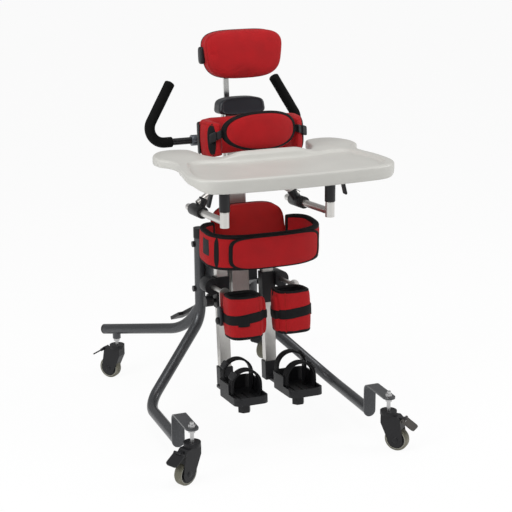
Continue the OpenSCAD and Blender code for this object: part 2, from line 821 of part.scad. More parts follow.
module carrier() {
    outer = flange_x + carrier_t;
    color(paint_grey) leaning() difference() {
        union() {
            block(-outer, outer, column_back, column_back + carrier_t, carrier_foot + 30, carrier_top - 20);
            for (side = [left, right])
                side_plate(side > 0 ? flange_x : -outer, side > 0 ? outer : -flange_x) flange_outline();
        }
        x_rod(-outer - 1, outer + 1, pivot_y, pivot_h, bolt_d / 2 + fit);
        lock_slot(-outer - 1, -flange_x + 1);
        lock_slot(flange_x - 1, outer + 1);
    }
}

// Moulded cover on the column top: a wide nose in front and a neck over the column
cap_w = 146;
cap_tall = 54;
cap_front = column_face - 82;
cap_neck = column_face - 24;
cap_back = column_back + 8;
cap_z = column_top - 20;
module top_cap() {
    corner = 14;
    neck_half = column_w / 2 + 3;
    color(black_plastic) leaning() difference() {
        union() {
            translate([0, cap_neck, cap_z]) rotate([90, 0, 0]) linear_extrude(cap_neck - cap_front) hull()
                for (side = [left, right]) {
                    translate([side * (cap_w / 2 - corner), corner]) circle(r = corner, $fn = 32);
                    translate([side * (cap_w / 2 - corner - 8), cap_tall - corner])
                        circle(r = corner, $fn = 32);
                }
            block(-neck_half, neck_half, cap_neck - 1, cap_back, cap_z, cap_z + cap_tall - 18);
        }
        translate([0, column_mid, cap_z - 1]) linear_extrude(21) column_outline(fit / 2);
    }
}

// Two leg poles welded to a beam on the column face
module pole_outline(grow) {
    square([pole_w + 2 * grow, pole_d + 2 * grow], center = true);
}
module leg_poles() {
    color(silver) leaning() {
        block(-pole_x - pole_w / 2, pole_x + pole_w / 2, column_face - beam_t, column_face,
            pole_top - beam_h, pole_top);
        for (side = [left, right])
            translate([side * pole_x, pole_y, pole_foot]) linear_extrude(pole_top - pole_foot) difference() {
                pole_outline(0);
                pole_outline(-pole_wall);
            }
    }
}

// Block behind the column: a slot for the headrest bar and a cross sleeve for the handles
bar_y = column_back + bar_back;
sleeve_y = column_back + sleeve_back;
clamp_half = 30;
module rear_clamp() {
    sleeve_r = handle_d / 2 + sleeve_wall;
    color(paint_grey) leaning() difference() {
        union() {
            block(-24, 24, column_back, sleeve_y, handle_h - clamp_half, handle_h + clamp_half);
            x_rod(-sleeve_len / 2, sleeve_len / 2, sleeve_y, handle_h, sleeve_r);
            for (side = [left, right])
                x_rod(side * (sleeve_len / 2 - 10) - 10, side * (sleeve_len / 2 - 10) + 10, sleeve_y,
                    handle_h, sleeve_r + 2.5);
        }
        x_rod(-sleeve_len, sleeve_len, sleeve_y, handle_h, handle_d / 2 + fit);
        block(
            -bar_w / 2 - slide_fit, bar_w / 2 + slide_fit, bar_y - bar_t / 2 - slide_fit,
            bar_y + bar_t / 2 + slide_fit,
            handle_h - clamp_half - 1, handle_h + clamp_half + 1
        );
    }
}

// Headrest: a cranked flat bar with an eye, a plate that tilts on it and a pad
head_pivot_y = bar_y - bar_crank;
eye_r = 10;
head_pin_d = 8;
head_plate_y = head_pivot_y - 24;
head_plate_t = 6;
module head_bar() {
    bar_foot = handle_h - 81;
    crank_foot = head_pivot_h - 80;
    crank_top = head_pivot_h - 30;
    half = bar_t / 2;
    color(silver) leaning() difference() {
        union() {
            side_plate(-bar_w / 2, bar_w / 2) polygon([
                [bar_y - half, bar_foot],
                [bar_y + half, bar_foot],
                [bar_y + half, crank_foot + half],
                [head_pivot_y + half, crank_top + half],
                [head_pivot_y + half, head_pivot_h],
                [head_pivot_y - half, head_pivot_h],
                [head_pivot_y - half, crank_top - half],
                [bar_y - half, crank_foot - half]
            ]);
            x_rod(-bar_w / 2, bar_w / 2, head_pivot_y, head_pivot_h, eye_r);
        }
        x_rod(-bar_w, bar_w, head_pivot_y, head_pivot_h, head_pin_d / 2 + fit);
    }
}
module head_plate() {
    ear_t = 6;
    ear_x = bar_w / 2 + slide_fit;
    plate_half_w = head_w / 2 - 30;
    plate_half_h = 38;
    front = head_plate_y - head_plate_t;
    color(black_plastic) leaning() {
        block(-plate_half_w, plate_half_w, front, head_plate_y, head_pivot_h - plate_half_h,
            head_pivot_h + plate_half_h);
        for (side = [left, right]) {
            x0 = side > 0 ? ear_x : -ear_x - ear_t;
            x_rod(x0, x0 + ear_t, head_pivot_y, head_pivot_h, eye_r);
            block(x0, x0 + ear_t, head_plate_y - 1, head_pivot_y, head_pivot_h - eye_r, head_pivot_h + eye_r);
        }
        x_rod(-ear_x - ear_t, ear_x + ear_t, head_pivot_y, head_pivot_h, head_pin_d / 2);
    }
}
// The pad is narrower below than above
module head_pad() {
    outline = [
        for (q = oval(head_w / 2, head_h / 2, 3, 36)) [q.x * (1 + 0.09 * q.y / (head_h / 2) - 0.03), q.y]
    ];
    y_mid = head_plate_y - head_plate_t - soft_fit - head_t / 2;
    color(red_cloth) leaning() translate([0, y_mid, head_pivot_h])
        cushion(outline, cushion_profile(head_t, 30));
}

// Push handles: two bent tubes in the cross sleeve, with foam grips
function handle_path(side) = [
    [side * 20, sleeve_y, handle_h],
    [side * handle_half, sleeve_y, handle_h],
    [side * handle_tip_half, sleeve_y, handle_h + handle_rise]
];
bare_tube = 62;
function grip_path(side) = [
    [side * (sleeve_len / 2 + bare_tube), sleeve_y, handle_h],
    [side * handle_half, sleeve_y, handle_h],
    [side * handle_tip_half, sleeve_y, handle_h + handle_rise]
];
module handle_tubes() {
    wall = 2;
    color(black_plastic) leaning() for (side = [left, right]) difference() {
        bent_bar(handle_path(side), handle_bend, handle_d / 2);
        bent_bar(handle_path(side), handle_bend, handle_d / 2 - wall, 1);
    }
}
module handle_grips() {
    cap_out = 5;
    color(black_plastic) leaning() for (side = [left, right]) {
        path = grip_path(side);
        rise = unit(path[2] - path[1]);
        difference() {
            bent_bar([path[0], path[1], path[2] + rise * cap_out], handle_bend, grip_d / 2);
            bent_bar(handle_path(side), handle_bend, handle_d / 2 + fit / 2);
        }
    }
}

// Carriages grip the column face and sides, and their lips run in the side grooves
module carriage(z, h) {
    wall = 7;
    grip = column_d - 4;
    inner = column_w / 2 + slide_fit;
    face = column_face - slide_fit;
    lip = groove_w / 2 - slide_fit;
    block(-inner - wall, inner + wall, face - wall, face, z - h / 2, z + h / 2);
    for (side = [left, right]) {
        x0 = side > 0 ? inner : -inner - wall;
        block(x0, x0 + wall, face - wall, column_face + grip, z - h / 2, z + h / 2);
        tip = column_w / 2 - groove_depth + slide_fit;
        block(side > 0 ? tip : -inner - 1, side > 0 ? inner + 1 : -tip, column_mid - lip,
            column_mid + lip, z - h / 2, z + h / 2);
    }
}

// Chest support
chest_back_y = column_face - chest_ahead;
chest_carriage_h = 52;
module chest_carriage() {
    color(black_plastic) leaning() {
        carriage(chest_h, chest_carriage_h);
        block(-26, 26, chest_back_y + soft_fit, column_face - 1, chest_h - 22, chest_h + 22);
        block(-90, 90, chest_back_y + soft_fit, chest_back_y + soft_fit + 5, chest_h - 36, chest_h + 36);
    }
}
chest_power = 3.2;
chest_end = 130;
function chest_path() = oval_path(
    (chest_w - chest_pad) / 2, chest_side / 2, chest_back_y - (chest_side + chest_pad) / 2, chest_power,
    -chest_end, chest_end, 44
);
module chest_wrap() {
    color(red_cloth) leaning() translate([0, 0, chest_h])
        band(chest_path(), chest_pad / 2, chest_wrap_h / 2, 3.4, 16);
}
// Oval front panel, bent round the chest
module chest_panel() {
    front = column_face - panel_reach;
    bow = 32;
    panel_up = 22;
    outline = oval(panel_w / 2, panel_h / 2, 2.3, 40);
    rings = [
        for (p = cushion_profile(panel_t, 14)) [
            for (q = outline)
                let (x = q.x * p[0], sag = bow * pow(x / (panel_w / 2), 2))
                    [x, front + panel_t / 2 + p[1] * (1 - 0.5 * pow(x / (panel_w / 2), 4)) + sag, q.y * p[0]]
        ]
    ];
    color(red_cloth) leaning() translate([0, 0, chest_h + panel_up]) ring_solid(rings);
}

// Hip support
pad_back_y = column_face - back_pad_ahead;
hip_carriage_z = hip_h + 46;
module hip_carriage() {
    color(black_plastic) leaning() {
        carriage(hip_carriage_z, 50);
        block(-24, 24, pad_back_y + soft_fit, column_face - 1, hip_carriage_z - 20, hip_carriage_z + 20);
        block(-95, 95, pad_back_y + soft_fit, pad_back_y + soft_fit + 5, hip_carriage_z - 34,
            hip_carriage_z + 34);
    }
}
module hip_back_pad() {
    foot = hip_h - 29;
    outline = [
        for (q = oval(back_pad_w / 2, back_pad_h / 2, 3.6, 36))
            [q.x * (1 - 0.05 * q.y / (back_pad_h / 2)), q.y]
    ];
    color(red_cloth) leaning() translate([0, pad_back_y - back_pad_t / 2, foot + back_pad_h / 2])
        cushion(outline, cushion_profile(back_pad_t, 12));
}
hip_power = 3;
hip_front = column_face - hip_reach + hip_belt_pad / 2;
function hip_path() =
    let (
        a = (hip_w - hip_belt_pad) / 2,
        back = pad_back_y - back_pad_t / 2,
        end = 180 - asin(pow(back_pad_w / 2 / a, hip_power / 2))
    )
    oval_path(a, (hip_front - back) / 2, (hip_front + back) / 2, hip_power, -end, end, 52);
module hip_belt() {
    color(red_cloth) leaning() translate([0, hip_front, hip_h]) rotate([hip_tip, 0, 0])
        translate([0, -hip_front, 0])
        band(hip_path(), hip_belt_pad / 2, hip_belt_h / 2, 4, 14);
}

// Tray support: a carriage with a forward bar, two arms, two clamps, depth tubes and tee posts
depth_x = depth_gap / 2;
clamp_y = column_face - clamp_ahead;
tee_y = column_face - tee_ahead;
bar_z = tray_carriage_h + 4;
arm_half = 46;
function arm_start(side) = [side * arm_half, clamp_y + 14, bar_z];
function arm_end(side) = [side * depth_x, clamp_y, depth_h + depth_d];
module tray_clamps() {
    shell = depth_d / 2 + 8;
    color(black_plastic) leaning() difference() {
        union() {
            carriage(tray_carriage_h, 52);
            block(-20, 20, clamp_y, column_face - 1, bar_z - 14, bar_z + 14);
            block(-arm_half - 10, arm_half + 10, clamp_y, clamp_y + 28, bar_z - 14, bar_z + 14);
            for (side = [left, right]) {
                y_rod(clamp_y - clamp_len / 2, clamp_y + clamp_len / 2, side * depth_x, depth_h, shell);
                reach = unit(arm_start(side) - arm_end(side));
                rod([side * depth_x, clamp_y, depth_h], arm_end(side) + reach * 26, arm_d / 2 + 4);
            }
        }
        for (side = [left, right]) {
            rod(arm_end(side), arm_start(side), arm_d / 2 + fit / 2);
            y_rod(clamp_y - clamp_len, clamp_y + clamp_len, side * depth_x, depth_h, depth_d / 2 + fit);
        }
    }
}
module tray_arms() {
    wall = 2;
    color(silver) leaning() for (side = [left, right]) difference() {
        rod(arm_end(side), arm_start(side), arm_d / 2);
        rod(arm_end(side), arm_start(side) + (arm_start(side) - arm_end(side)), arm_d / 2 - wall);
    }
}
// The tray stands level whatever the lean, so its posts are upright
function tee(side) = lean_point([side * depth_x, tee_y, depth_h]);
tray_z = tee(right).z + tray_rise;
tray_ceiling = tray_z + tray_rim - tray_sunk - tray_wall;
tee_z = tee(right).z;
module tray_frame() {
    wall = 2;
    knuckle = depth_d / 2 + 3;
    color(silver) for (side = [left, right]) {
        at = tee(side);
        back = lean_point([side * depth_x, column_face - 10, depth_h]);
        difference() {
            union() {
                rod(at, back, depth_d / 2);
                translate([at.x, at.y, tee_z - 16]) cylinder(r = knuckle, h = 46);
                translate([at.x, at.y, tee_z]) cylinder(d = depth_d, h = tray_rise - 12);
            }
            rod(at + unit(back - at) * (knuckle + 4), back + (back - at), depth_d / 2 - wall);
        }
    }
}
lever_pin_d = 6;
lever_x = socket_d / 2 + 20;
lever_z = tray_z - 25;
lever_half = 8;
lever_ear = 6;
module tray_sockets() {
    flange_t = 5;
    ear_len = 2 * lever_half + 2 * lever_ear;
    color(black_plastic) for (side = [left, right]) {
        at = tee(side);
        difference() {
            union() {
                translate([at.x, at.y, tray_z - socket_len])
                    cylinder(d = socket_d, h = tray_ceiling - tray_z + socket_len);
                translate([at.x - 30, at.y - 30, tray_ceiling - flange_t]) cube([60, 60, flange_t]);
                y_rod(at.y - ear_len / 2, at.y + ear_len / 2, at.x + side * lever_x, lever_z, lever_ear);
                block(
                    side > 0 ? at.x : at.x - lever_x, side > 0 ? at.x + lever_x : at.x,
                    at.y - ear_len / 2, at.y + ear_len / 2, lever_z - lever_ear, lever_z + lever_ear
                );
            }
            translate([at.x, at.y, tray_z - socket_len - 1]) cylinder(r = depth_d / 2 + fit, h = socket_len);
            block(
                side > 0 ? at.x + socket_d / 2 + 2 : at.x - lever_x - 20,
                side > 0 ? at.x + lever_x + 20 : at.x - socket_d / 2 - 2,
                at.y - lever_half - slide_fit, at.y + lever_half + slide_fit, lever_z - 20, lever_z + 20
            );
        }
        y_rod(at.y - ear_len / 2, at.y + ear_len / 2, at.x + side * lever_x, lever_z, lever_pin_d / 2);
    }
}
// Half outline of the tray from the front middle round to the body cut-out, then mirrored
tray_front = tee(right).y - tray_ahead;
tray_back = tray_front + tray_depth;
ear_half = tray_w / 2;
half_tray = [
    [0, tray_front], [130, tray_front + 4], [ear_half - 82, tray_front + 15],
    [ear_half - 32, tray_front + 43],
    [ear_half - 11, tray_front + 94], [ear_half - 16, tray_front + 180], [ear_half - 34, tray_front + 262],
    [ear_half - 26, tray_front + 312], [ear_half - 3, tray_back - 122], [ear_half - 2, tray_back - 70],
    [ear_half - 30, tray_back - 18], [ear_half - 74, tray_back], [cutout_half + 16, tray_back - 16],
    [cutout_half, tray_back - 60], [cutout_half - 8, tray_back - 112],
    [cutout_half - 40, tray_back - cutout_depth + 18],
    [cutout_half - 90, tray_back - cutout_depth], [0, tray_back - cutout_depth + 2]
];
function spline_at(p, i, t) =
    let (n = len(p), a = p[(i + n - 1) % n], b = p[i], c = p[(i + 1) % n], d = p[(i + 2) % n])
        0.5 * (2 * b + (c - a) * t + (2 * a - 5 * b + 4 * c - d) * t * t + (3 * b - 3 * c + d - a) * t * t * t);
function closed_curve(p, cuts) = [
    for (i = [0 : len(p) - 1]) for (k = [0 : cuts - 1]) spline_at(p, i, k / cuts)
];
module tray_outline() {
    other = [for (i = [len(half_tray) - 2 : -1 : 1]) [-half_tray[i].x, half_tray[i].y]];
    polygon(closed_curve(concat(half_tray, other), 4));
}
// The lip along the cut-out is level in its middle and dies away towards the ears
module tray_lip() {
    edge = tray_back - cutout_depth;
    foot = tray_z + tray_rim - 1;
    reach = cutout_half - 33;
    slope = 0.36;
    intersection() {
        translate([0, 0, foot]) linear_extrude(lip_rise + 1) difference() {
            offset(delta = -2) tray_outline();
            offset(delta = 3 - tray_border) tray_outline();
        }
        translate([0, edge + 40, foot]) rotate([90, 0, 0]) linear_extrude(80) polygon([
            for (k = [0 : 24])
                let (
                    x = k / 12 - 1,
                    share = min(1, (1 - abs(x)) / slope)
                )
                    [reach * x, 0.5 + (lip_rise + 0.5) * (1 - cos(180 * share)) / 2],
            [reach, -1],
            [-reach, -1]
        ]);
    }
}
module tray_top() {
    color(tray_grey) {
        tray_lip();
        difference() {
            translate([0, 0, tray_z]) linear_extrude(tray_rim) tray_outline();
            translate([0, 0, tray_z - 1]) linear_extrude(tray_ceiling - tray_z + 1)
                offset(delta = -tray_wall) tray_outline();
            translate([0, 0, tray_z + tray_rim - tray_sunk]) linear_extrude(tray_sunk + 1) intersection() {
                offset(delta = -tray_border) tray_outline();
                translate([-ear_half, tray_front])
                    square([2 * ear_half, tray_back - tray_front - cutout_depth + 10]);
            }
            side_plate(-ear_half - 10, ear_half + 10) polygon([
                [tray_front + 20, tray_z - 1],
                [tray_front + 80, tray_z + side_rise],
                [tray_back + 10, tray_z + side_rise],
                [tray_back + 10, tray_z - 1]
            ]);
        }
    }
}
// Quick-release levers that hang from pins on the tray sockets and swing outward
module tray_lever(side) {
    at = tee(side);
    lever_len = 60;
    splay = 14;
    color(black_plastic) translate([at.x + side * lever_x, at.y, lever_z]) difference() {
        rotate([0, -side * splay, 0]) union() {
            y_rod(-lever_half, lever_half, 0, 0, lever_ear);
            block(-4, 4, -lever_half, lever_half, -lever_len + 4, 0);
            y_rod(-lever_half, lever_half, 0, -lever_len + 4, 4);
        }
        y_rod(-lever_half - 1, lever_half + 1, 0, 0, lever_pin_d / 2 + fit);
    }
}
module tray_lever_left() tray_lever(left);
module tray_lever_right() tray_lever(right);

// A sleeve that slides on a leg pole
module pole_sleeve(side, z, h) {
    translate([side * pole_x, pole_y, z]) linear_extrude(h) difference() {
        pole_outline(sleeve_wall + slide_fit);
        pole_outline(slide_fit);
    }
}
// Knee supports: clamp on the pole, rod with a bracket, padded cuff
knee_boss_back = column_face - 1;
knee_boss_front = knee_boss_back - knee_boss_len;
knee_rod_x = knee_rod_gap / 2;
cuff_back = pole_y - 139;
module knee_clamp(side) {
    knob_d = 34;
    knob_z = knee_clamp_h - 52;
    wall_x = pole_x + pole_w / 2 + slide_fit + sleeve_wall / 2;
    knob_x = knee_rod_x + 18;
    color(black_plastic) leaning() difference() {
        union() {
            pole_sleeve(side, knee_clamp_h - 0.75 * knee_sleeve_h, knee_sleeve_h);
            difference() {
                y_rod(knee_boss_front, knee_boss_back, side * knee_rod_x, knee_clamp_h, knee_boss_d / 2);
                block(-wall_x, wall_x, knee_boss_front - 1, knee_boss_back + 1, 0, column_top);
            }
            x_rod(side > 0 ? wall_x : -wall_x - 12, side > 0 ? wall_x + 12 : -wall_x, pole_y, knob_z, 7);
            x_rod(side > 0 ? wall_x + 12 : -knob_x, side > 0 ? knob_x : -wall_x - 12, pole_y, knob_z,
                knob_d / 2);
        }
        y_rod(knee_boss_front - 1, knee_boss_back + 1, side * knee_rod_x, knee_clamp_h, knee_rod_d / 2 + fit);
    }
}
module knee_clamp_left() knee_clamp(left);
module knee_clamp_right() knee_clamp(right);
module knee_bracket(side) {
    bracket_t = 4;
    bracket_w = 34;
    x = side * knee_rod_x;
    cuff_round = 1;
    front = cuff_back + soft_fit - cuff_round;
    color(silver) leaning() {
        y_rod(front + 1, knee_boss_back + 45, x, knee_clamp_h, knee_rod_d / 2);
        block(x - bracket_w / 2, x + bracket_w / 2, front, front + bracket_t, cuff_mid_h - 40, knee_clamp_h);
        y_rod(front, front + bracket_t, x, knee_clamp_h, bracket_w / 2);
    }
}
module knee_bracket_left() knee_bracket(left);
module knee_bracket_right() knee_bracket(right);
module knee_cuff(side) {
    path = [
        for (q = oval((cuff_w - cuff_pad) / 2, (cuff_depth - cuff_pad) / 2, 3.4, 40))
            [q.x, cuff_back - cuff_depth / 2 + q.y]
    ];
    color(red_cloth) leaning() translate([side * cuff_gap / 2, 0, cuff_mid_h])
        band(path, cuff_pad / 2, cuff_h / 2, 3.6, 12, true);
}
module knee_cuff_left() knee_cuff(left);
module knee_cuff_right() knee_cuff(right);

// Foot supports: sleeve with a bar under the sandal, sandal that turns, knob below
sandal_x = sandal_gap / 2;
toe_y = pole_y - toe_ahead;
heel_y = toe_y + sandal_len;
turn_y = toe_y + sandal_len / 2;
foot_bar_top = pole_foot;
foot_bar_foot = foot_bar_top - foot_bar_t;
sole_z = foot_bar_top + slide_fit;
foot_pin_d = 10;
module foot_clamp(side) {
    bar_half = 24;
    bar_back = pole_y - pole_d / 2 - slide_fit - sleeve_wall / 2;
    color(black_plastic) leaning() difference() {
        union() {
            pole_sleeve(side, foot_bar_foot, foot_sleeve_h);
            block(side * sandal_x - bar_half, side * sandal_x + bar_half, turn_y, bar_back,
                foot_bar_foot, foot_bar_top);
            translate([side * sandal_x, turn_y, foot_bar_foot]) cylinder(r = bar_half, h = foot_bar_t);
        }
        translate([side * sandal_x, turn_y, foot_bar_foot - 1])
            cylinder(r = foot_pin_d / 2 + fit, h = foot_bar_t + 2);
    }
}
module foot_clamp_left() foot_clamp(left);
module foot_clamp_right() foot_clamp(right);

module sole_outline(inset) {
    corner = 22;
    half = sandal_w / 2 - inset;
    r = corner - inset;
    for (y = [toe_y + corner, heel_y - corner])
        for (x = [-half + r, half - r])
            translate([x, y]) circle(r = r);
    translate([-half + r, toe_y + inset]) square([2 * (half - r), sandal_len - 2 * inset]);
    translate([-half, toe_y + corner]) square([2 * half, sandal_len - 2 * corner]);
}
module hoop(y, w, r, rise) {
    sole_top = sole_z + sole_t;
    translate([0, y + w / 2, sole_top + rise]) rotate([90, 0, 0]) linear_extrude(w) difference() {
        union() {
            circle(r = r);
            translate([-r, -rise - 1]) square([2 * r, rise + 1]);
        }
        circle(r = r - strap_t);
        translate([-r + strap_t, -rise - 2]) square([2 * (r - strap_t), rise + 2]);
        translate([-r, -2 * r - rise - 1]) square([2 * r, 2 * r]);
    }
}
module sandal(side) {
    sole_top = sole_z + sole_t;
    wall_t = 5;
    wall_h = 42;
    rim_h = 12;
    heel_len = 96;
    color(black_plastic) leaning() translate([side * sandal_x, 0, 0]) difference() {
        union() {
            translate([0, 0, sole_z]) linear_extrude(sole_t) sole_outline(0);
            translate([0, 0, sole_top]) linear_extrude(rim_h) difference() {
                sole_outline(0);
                sole_outline(wall_t);
            }
            intersection() {
                translate([0, 0, sole_top]) linear_extrude(wall_h) difference() {
                    sole_outline(0);
                    sole_outline(wall_t);
                }
                block(-sandal_w, sandal_w, heel_y - heel_len, heel_y + 1, sole_top, sole_top + wall_h);
            }
            hoop(toe_y + 62, hoop_w, hoop_r, front_rise);
            hoop(heel_y - 26, hoop_w - 4, hoop_r, ankle_rise);
        }
        translate([0, turn_y, sole_z - 1]) cylinder(r = foot_pin_d / 2 + fit, h = sole_t - 2);
        for (x = [-26, 0, 26])
            block(x - 3, x + 3, toe_y + 16, toe_y + 100, sole_top - 2, sole_top + 1);
    }
}
module sandal_left() sandal(left);
module sandal_right() sandal(right);
module foot_knob(side) {
    knob_h = 32;
    color(black_plastic) leaning() translate([side * sandal_x, turn_y, 0]) {
        translate([0, 0, foot_bar_foot - slide_fit - knob_h]) cylinder(d = foot_knob_d, h = knob_h, $fn = 6);
        translate([0, 0, foot_bar_foot - 1]) cylinder(d = foot_pin_d, h = foot_bar_t + sole_t - 4);
    }
}
module foot_knob_left() foot_knob(left);
module foot_knob_right() foot_knob(right);

front_leg_left();
front_leg_right();
rear_leg_left();
rear_leg_right();
cross_tube();
tube_caps();
caster_stems();
pivot_bolts();
fork_front_left();
fork_front_right();
fork_rear_left();
fork_rear_right();
hub_front_left();
hub_front_right();
hub_rear_left();
hub_rear_right();
tyre_front_left();
tyre_front_right();
tyre_rear_left();
tyre_rear_right();
brake_front_left();
brake_front_right();
brake_rear_left();
brake_rear_right();
tilt_pedal();
column();
carrier();
top_cap();
leg_poles();
rear_clamp();
head_bar();
head_plate();
head_pad();
handle_tubes();
handle_grips();
chest_carriage();
chest_wrap();
chest_panel();
hip_carriage();
hip_back_pad();
hip_belt();
tray_clamps();
tray_arms();
tray_frame();
tray_sockets();
tray_top();
tray_lever_left();
tray_lever_right();
knee_clamp_left();
knee_clamp_right();
knee_bracket_left();
knee_bracket_right();
knee_cuff_left();
knee_cuff_right();
foot_clamp_left();
foot_clamp_right();
sandal_left();
sandal_right();
foot_knob_left();
foot_knob_right();
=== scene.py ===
# %% [markdown]
# # A child's standing frame
# The frame has a wheeled tube base, a column that leans back, and on the column padded supports
# for head, chest, hips and knees, two sandals, a tray and push handles. The hard parts come from
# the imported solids. This file adds what solids can't give: cloth, bindings, straps, rounded
# mouldings and finishes. Lengths are metres, the front is -Y and the floor is Z = 0.

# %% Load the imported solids
import json
import math

import bpy
import numpy as np
from mathutils import Matrix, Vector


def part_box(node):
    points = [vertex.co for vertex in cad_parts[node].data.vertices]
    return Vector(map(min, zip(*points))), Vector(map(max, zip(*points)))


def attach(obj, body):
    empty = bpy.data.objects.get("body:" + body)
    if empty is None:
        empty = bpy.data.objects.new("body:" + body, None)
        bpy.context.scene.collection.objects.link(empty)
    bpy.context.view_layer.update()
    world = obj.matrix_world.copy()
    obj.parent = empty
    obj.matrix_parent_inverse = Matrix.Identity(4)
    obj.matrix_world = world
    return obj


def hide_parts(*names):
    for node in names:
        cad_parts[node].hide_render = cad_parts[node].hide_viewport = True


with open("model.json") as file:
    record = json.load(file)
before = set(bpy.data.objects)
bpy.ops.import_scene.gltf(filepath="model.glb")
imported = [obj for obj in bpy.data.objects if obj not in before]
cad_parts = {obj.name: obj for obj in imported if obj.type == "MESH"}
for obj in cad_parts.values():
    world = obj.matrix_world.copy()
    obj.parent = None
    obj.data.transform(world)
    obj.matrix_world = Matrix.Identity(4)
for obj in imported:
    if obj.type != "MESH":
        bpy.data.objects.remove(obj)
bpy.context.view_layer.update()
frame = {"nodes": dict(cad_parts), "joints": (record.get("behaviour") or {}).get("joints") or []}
nodes = frame["nodes"]

# %% [markdown]
# ## Working with grids of points
# Every new piece is a grid: rows along one direction, columns along another. A grid becomes quads
# by joining each point to its neighbours, and a grid that closes on itself joins its last row or
# column to its first. Distances along the grid give the UV map in metres, so a weave keeps its
# size whatever the shape.

# %% Grids to meshes
def along(grid, axis):
    """Distance along one grid axis: the mean step between neighbours, added up from zero."""
    steps = np.linalg.norm(np.diff(grid, axis=axis), axis=-1).mean(axis=1 - axis)
    return np.concatenate([[0.0], np.cumsum(steps)])


def grid_faces(rows, columns, wrap_rows, wrap_columns):
    """Corner numbers of the quads, and for each corner its place in the grid before wrapping."""
    index = np.arange(rows * columns).reshape(rows, columns)
    if wrap_rows:
        index = np.vstack([index, index[:1]])
    if wrap_columns:
        index = np.hstack([index, index[:, :1]])
    place = np.arange(index.size).reshape(index.shape)
    corners = [table[r, c] for table in (index, place) for r, c in (
        (np.s_[:-1], np.s_[:-1]), (np.s_[:-1], np.s_[1:]), (np.s_[1:], np.s_[1:]), (np.s_[1:], np.s_[:-1]))]
    return (np.stack(corners[:4], -1).reshape(-1, 4), np.stack(corners[4:], -1).reshape(-1, 4), index)


def outward(mesh):
    """Turn the faces of a closed mesh outwards: the signed volume must be positive."""
    mesh.calc_loop_triangles()
    co = np.zeros(len(mesh.vertices) * 3)
    mesh.vertices.foreach_get("co", co)
    tri = np.zeros(len(mesh.loop_triangles) * 3, int)
    mesh.loop_triangles.foreach_get("vertices", tri)
    a, b, c = co.reshape(-1, 3)[tri.reshape(-1, 3)].transpose(1, 0, 2)
    if np.einsum("ij,ij->i", a, np.cross(b, c)).sum() < 0:
        mesh.flip_normals()


def grid_object(name, grid, wrap_rows=False, wrap_columns=True, caps=True):
    """One object from a grid (rows, columns, 3). Open ends of wrapped columns are closed by a cap point."""
    grid = np.asarray(grid, float)
    rows, columns = grid.shape[:2]
    quads, places, index = grid_faces(rows, columns, wrap_rows, wrap_columns)
    laid = grid.reshape(-1, 3)[index]
    uv = np.stack(np.meshgrid(along(laid, 1), along(laid, 0)), -1).reshape(-1, 2)
    points, faces, maps = [grid.reshape(-1, 3)], [quads.tolist()], [uv[places].reshape(-1, 2)]
    if caps and wrap_columns and not wrap_rows:
        for number, row in enumerate((0, rows - 1)):
            middle = np.full(columns, rows * columns + number)
            edge = row * columns + np.arange(columns)
            after = np.roll(edge, -1)
            fan = np.stack([edge, middle, after] if row == 0 else [edge, after, middle], -1)
            points.append(grid[row].mean(0)[None])
            faces.append(fan.tolist())
            flat = points[0][fan % (rows * columns)]
            flat[fan == rows * columns + number] = grid[row].mean(0)
            maps.append(flat.reshape(-1, 3)[:, [0, 2]])
    mesh = bpy.data.meshes.new(name)
    mesh.from_pydata(np.concatenate(points), [], [f for part in faces for f in part])
    mesh.uv_layers.new(name="cloth").data.foreach_set("uv", np.concatenate(maps).astype(np.float32).ravel())
    mesh.polygons.foreach_set("use_smooth", np.ones(len(mesh.polygons), bool))
    if wrap_columns and (wrap_rows or caps):
        outward(mesh)
    mesh.update()
    piece = bpy.data.objects.new(name, mesh)
    bpy.context.scene.collection.objects.link(piece)
    return piece


def dress(piece, body, finish, stands_for=()):
    """Give a piece its finish and its body, and hide the solids that it stands for."""
    if not piece.data.materials:
        piece.data.materials.append(finish)
    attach(piece, body)
    if stands_for:
        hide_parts(*stands_for)
    return piece

# %% [markdown]
# ## Curves, sections and the lean
# The column leans back about its pivot bolts. Everything it carries is written upright and then
# leaned, as a maker would draw it. A few curve helpers do the rest: a smooth line through given
# points, a rounded oval, and a section carried along a path.

# %% Curves and sweeps
MM = 0.001
LEAN = math.radians(5)
PIVOT_Y, PIVOT_Z = 0.120, 0.557
SIDES = (("left", -1), ("right", 1))


def lean(points):
    """Upright column coordinates to the room: a turn by the lean about the pivot bolts."""
    p = np.asarray(points, float)
    y, z = p[..., 1] - PIVOT_Y, p[..., 2] - PIVOT_Z
    return np.stack([p[..., 0], PIVOT_Y + y * math.cos(LEAN) + z * math.sin(LEAN),
                     PIVOT_Z - y * math.sin(LEAN) + z * math.cos(LEAN)], -1)


def leant(*point):
    """One point of the upright column, leaned."""
    return lean(np.array(point, float))


# the three axes of the upright column after the lean
TILTED = lean(np.eye(3)) - lean(np.zeros(3))
UP = TILTED[2]


def unit(v):
    """Each vector divided by its length."""
    return v / np.linalg.norm(v, axis=-1, keepdims=True)


def xyz(x, y, z):
    """Points from three arrays that may have different shapes."""
    return np.stack(np.broadcast_arrays(x, y, z), -1)


def laps(count):
    """Shares of one turn round a closed piece."""
    return np.linspace(0, 1, count, endpoint=False)


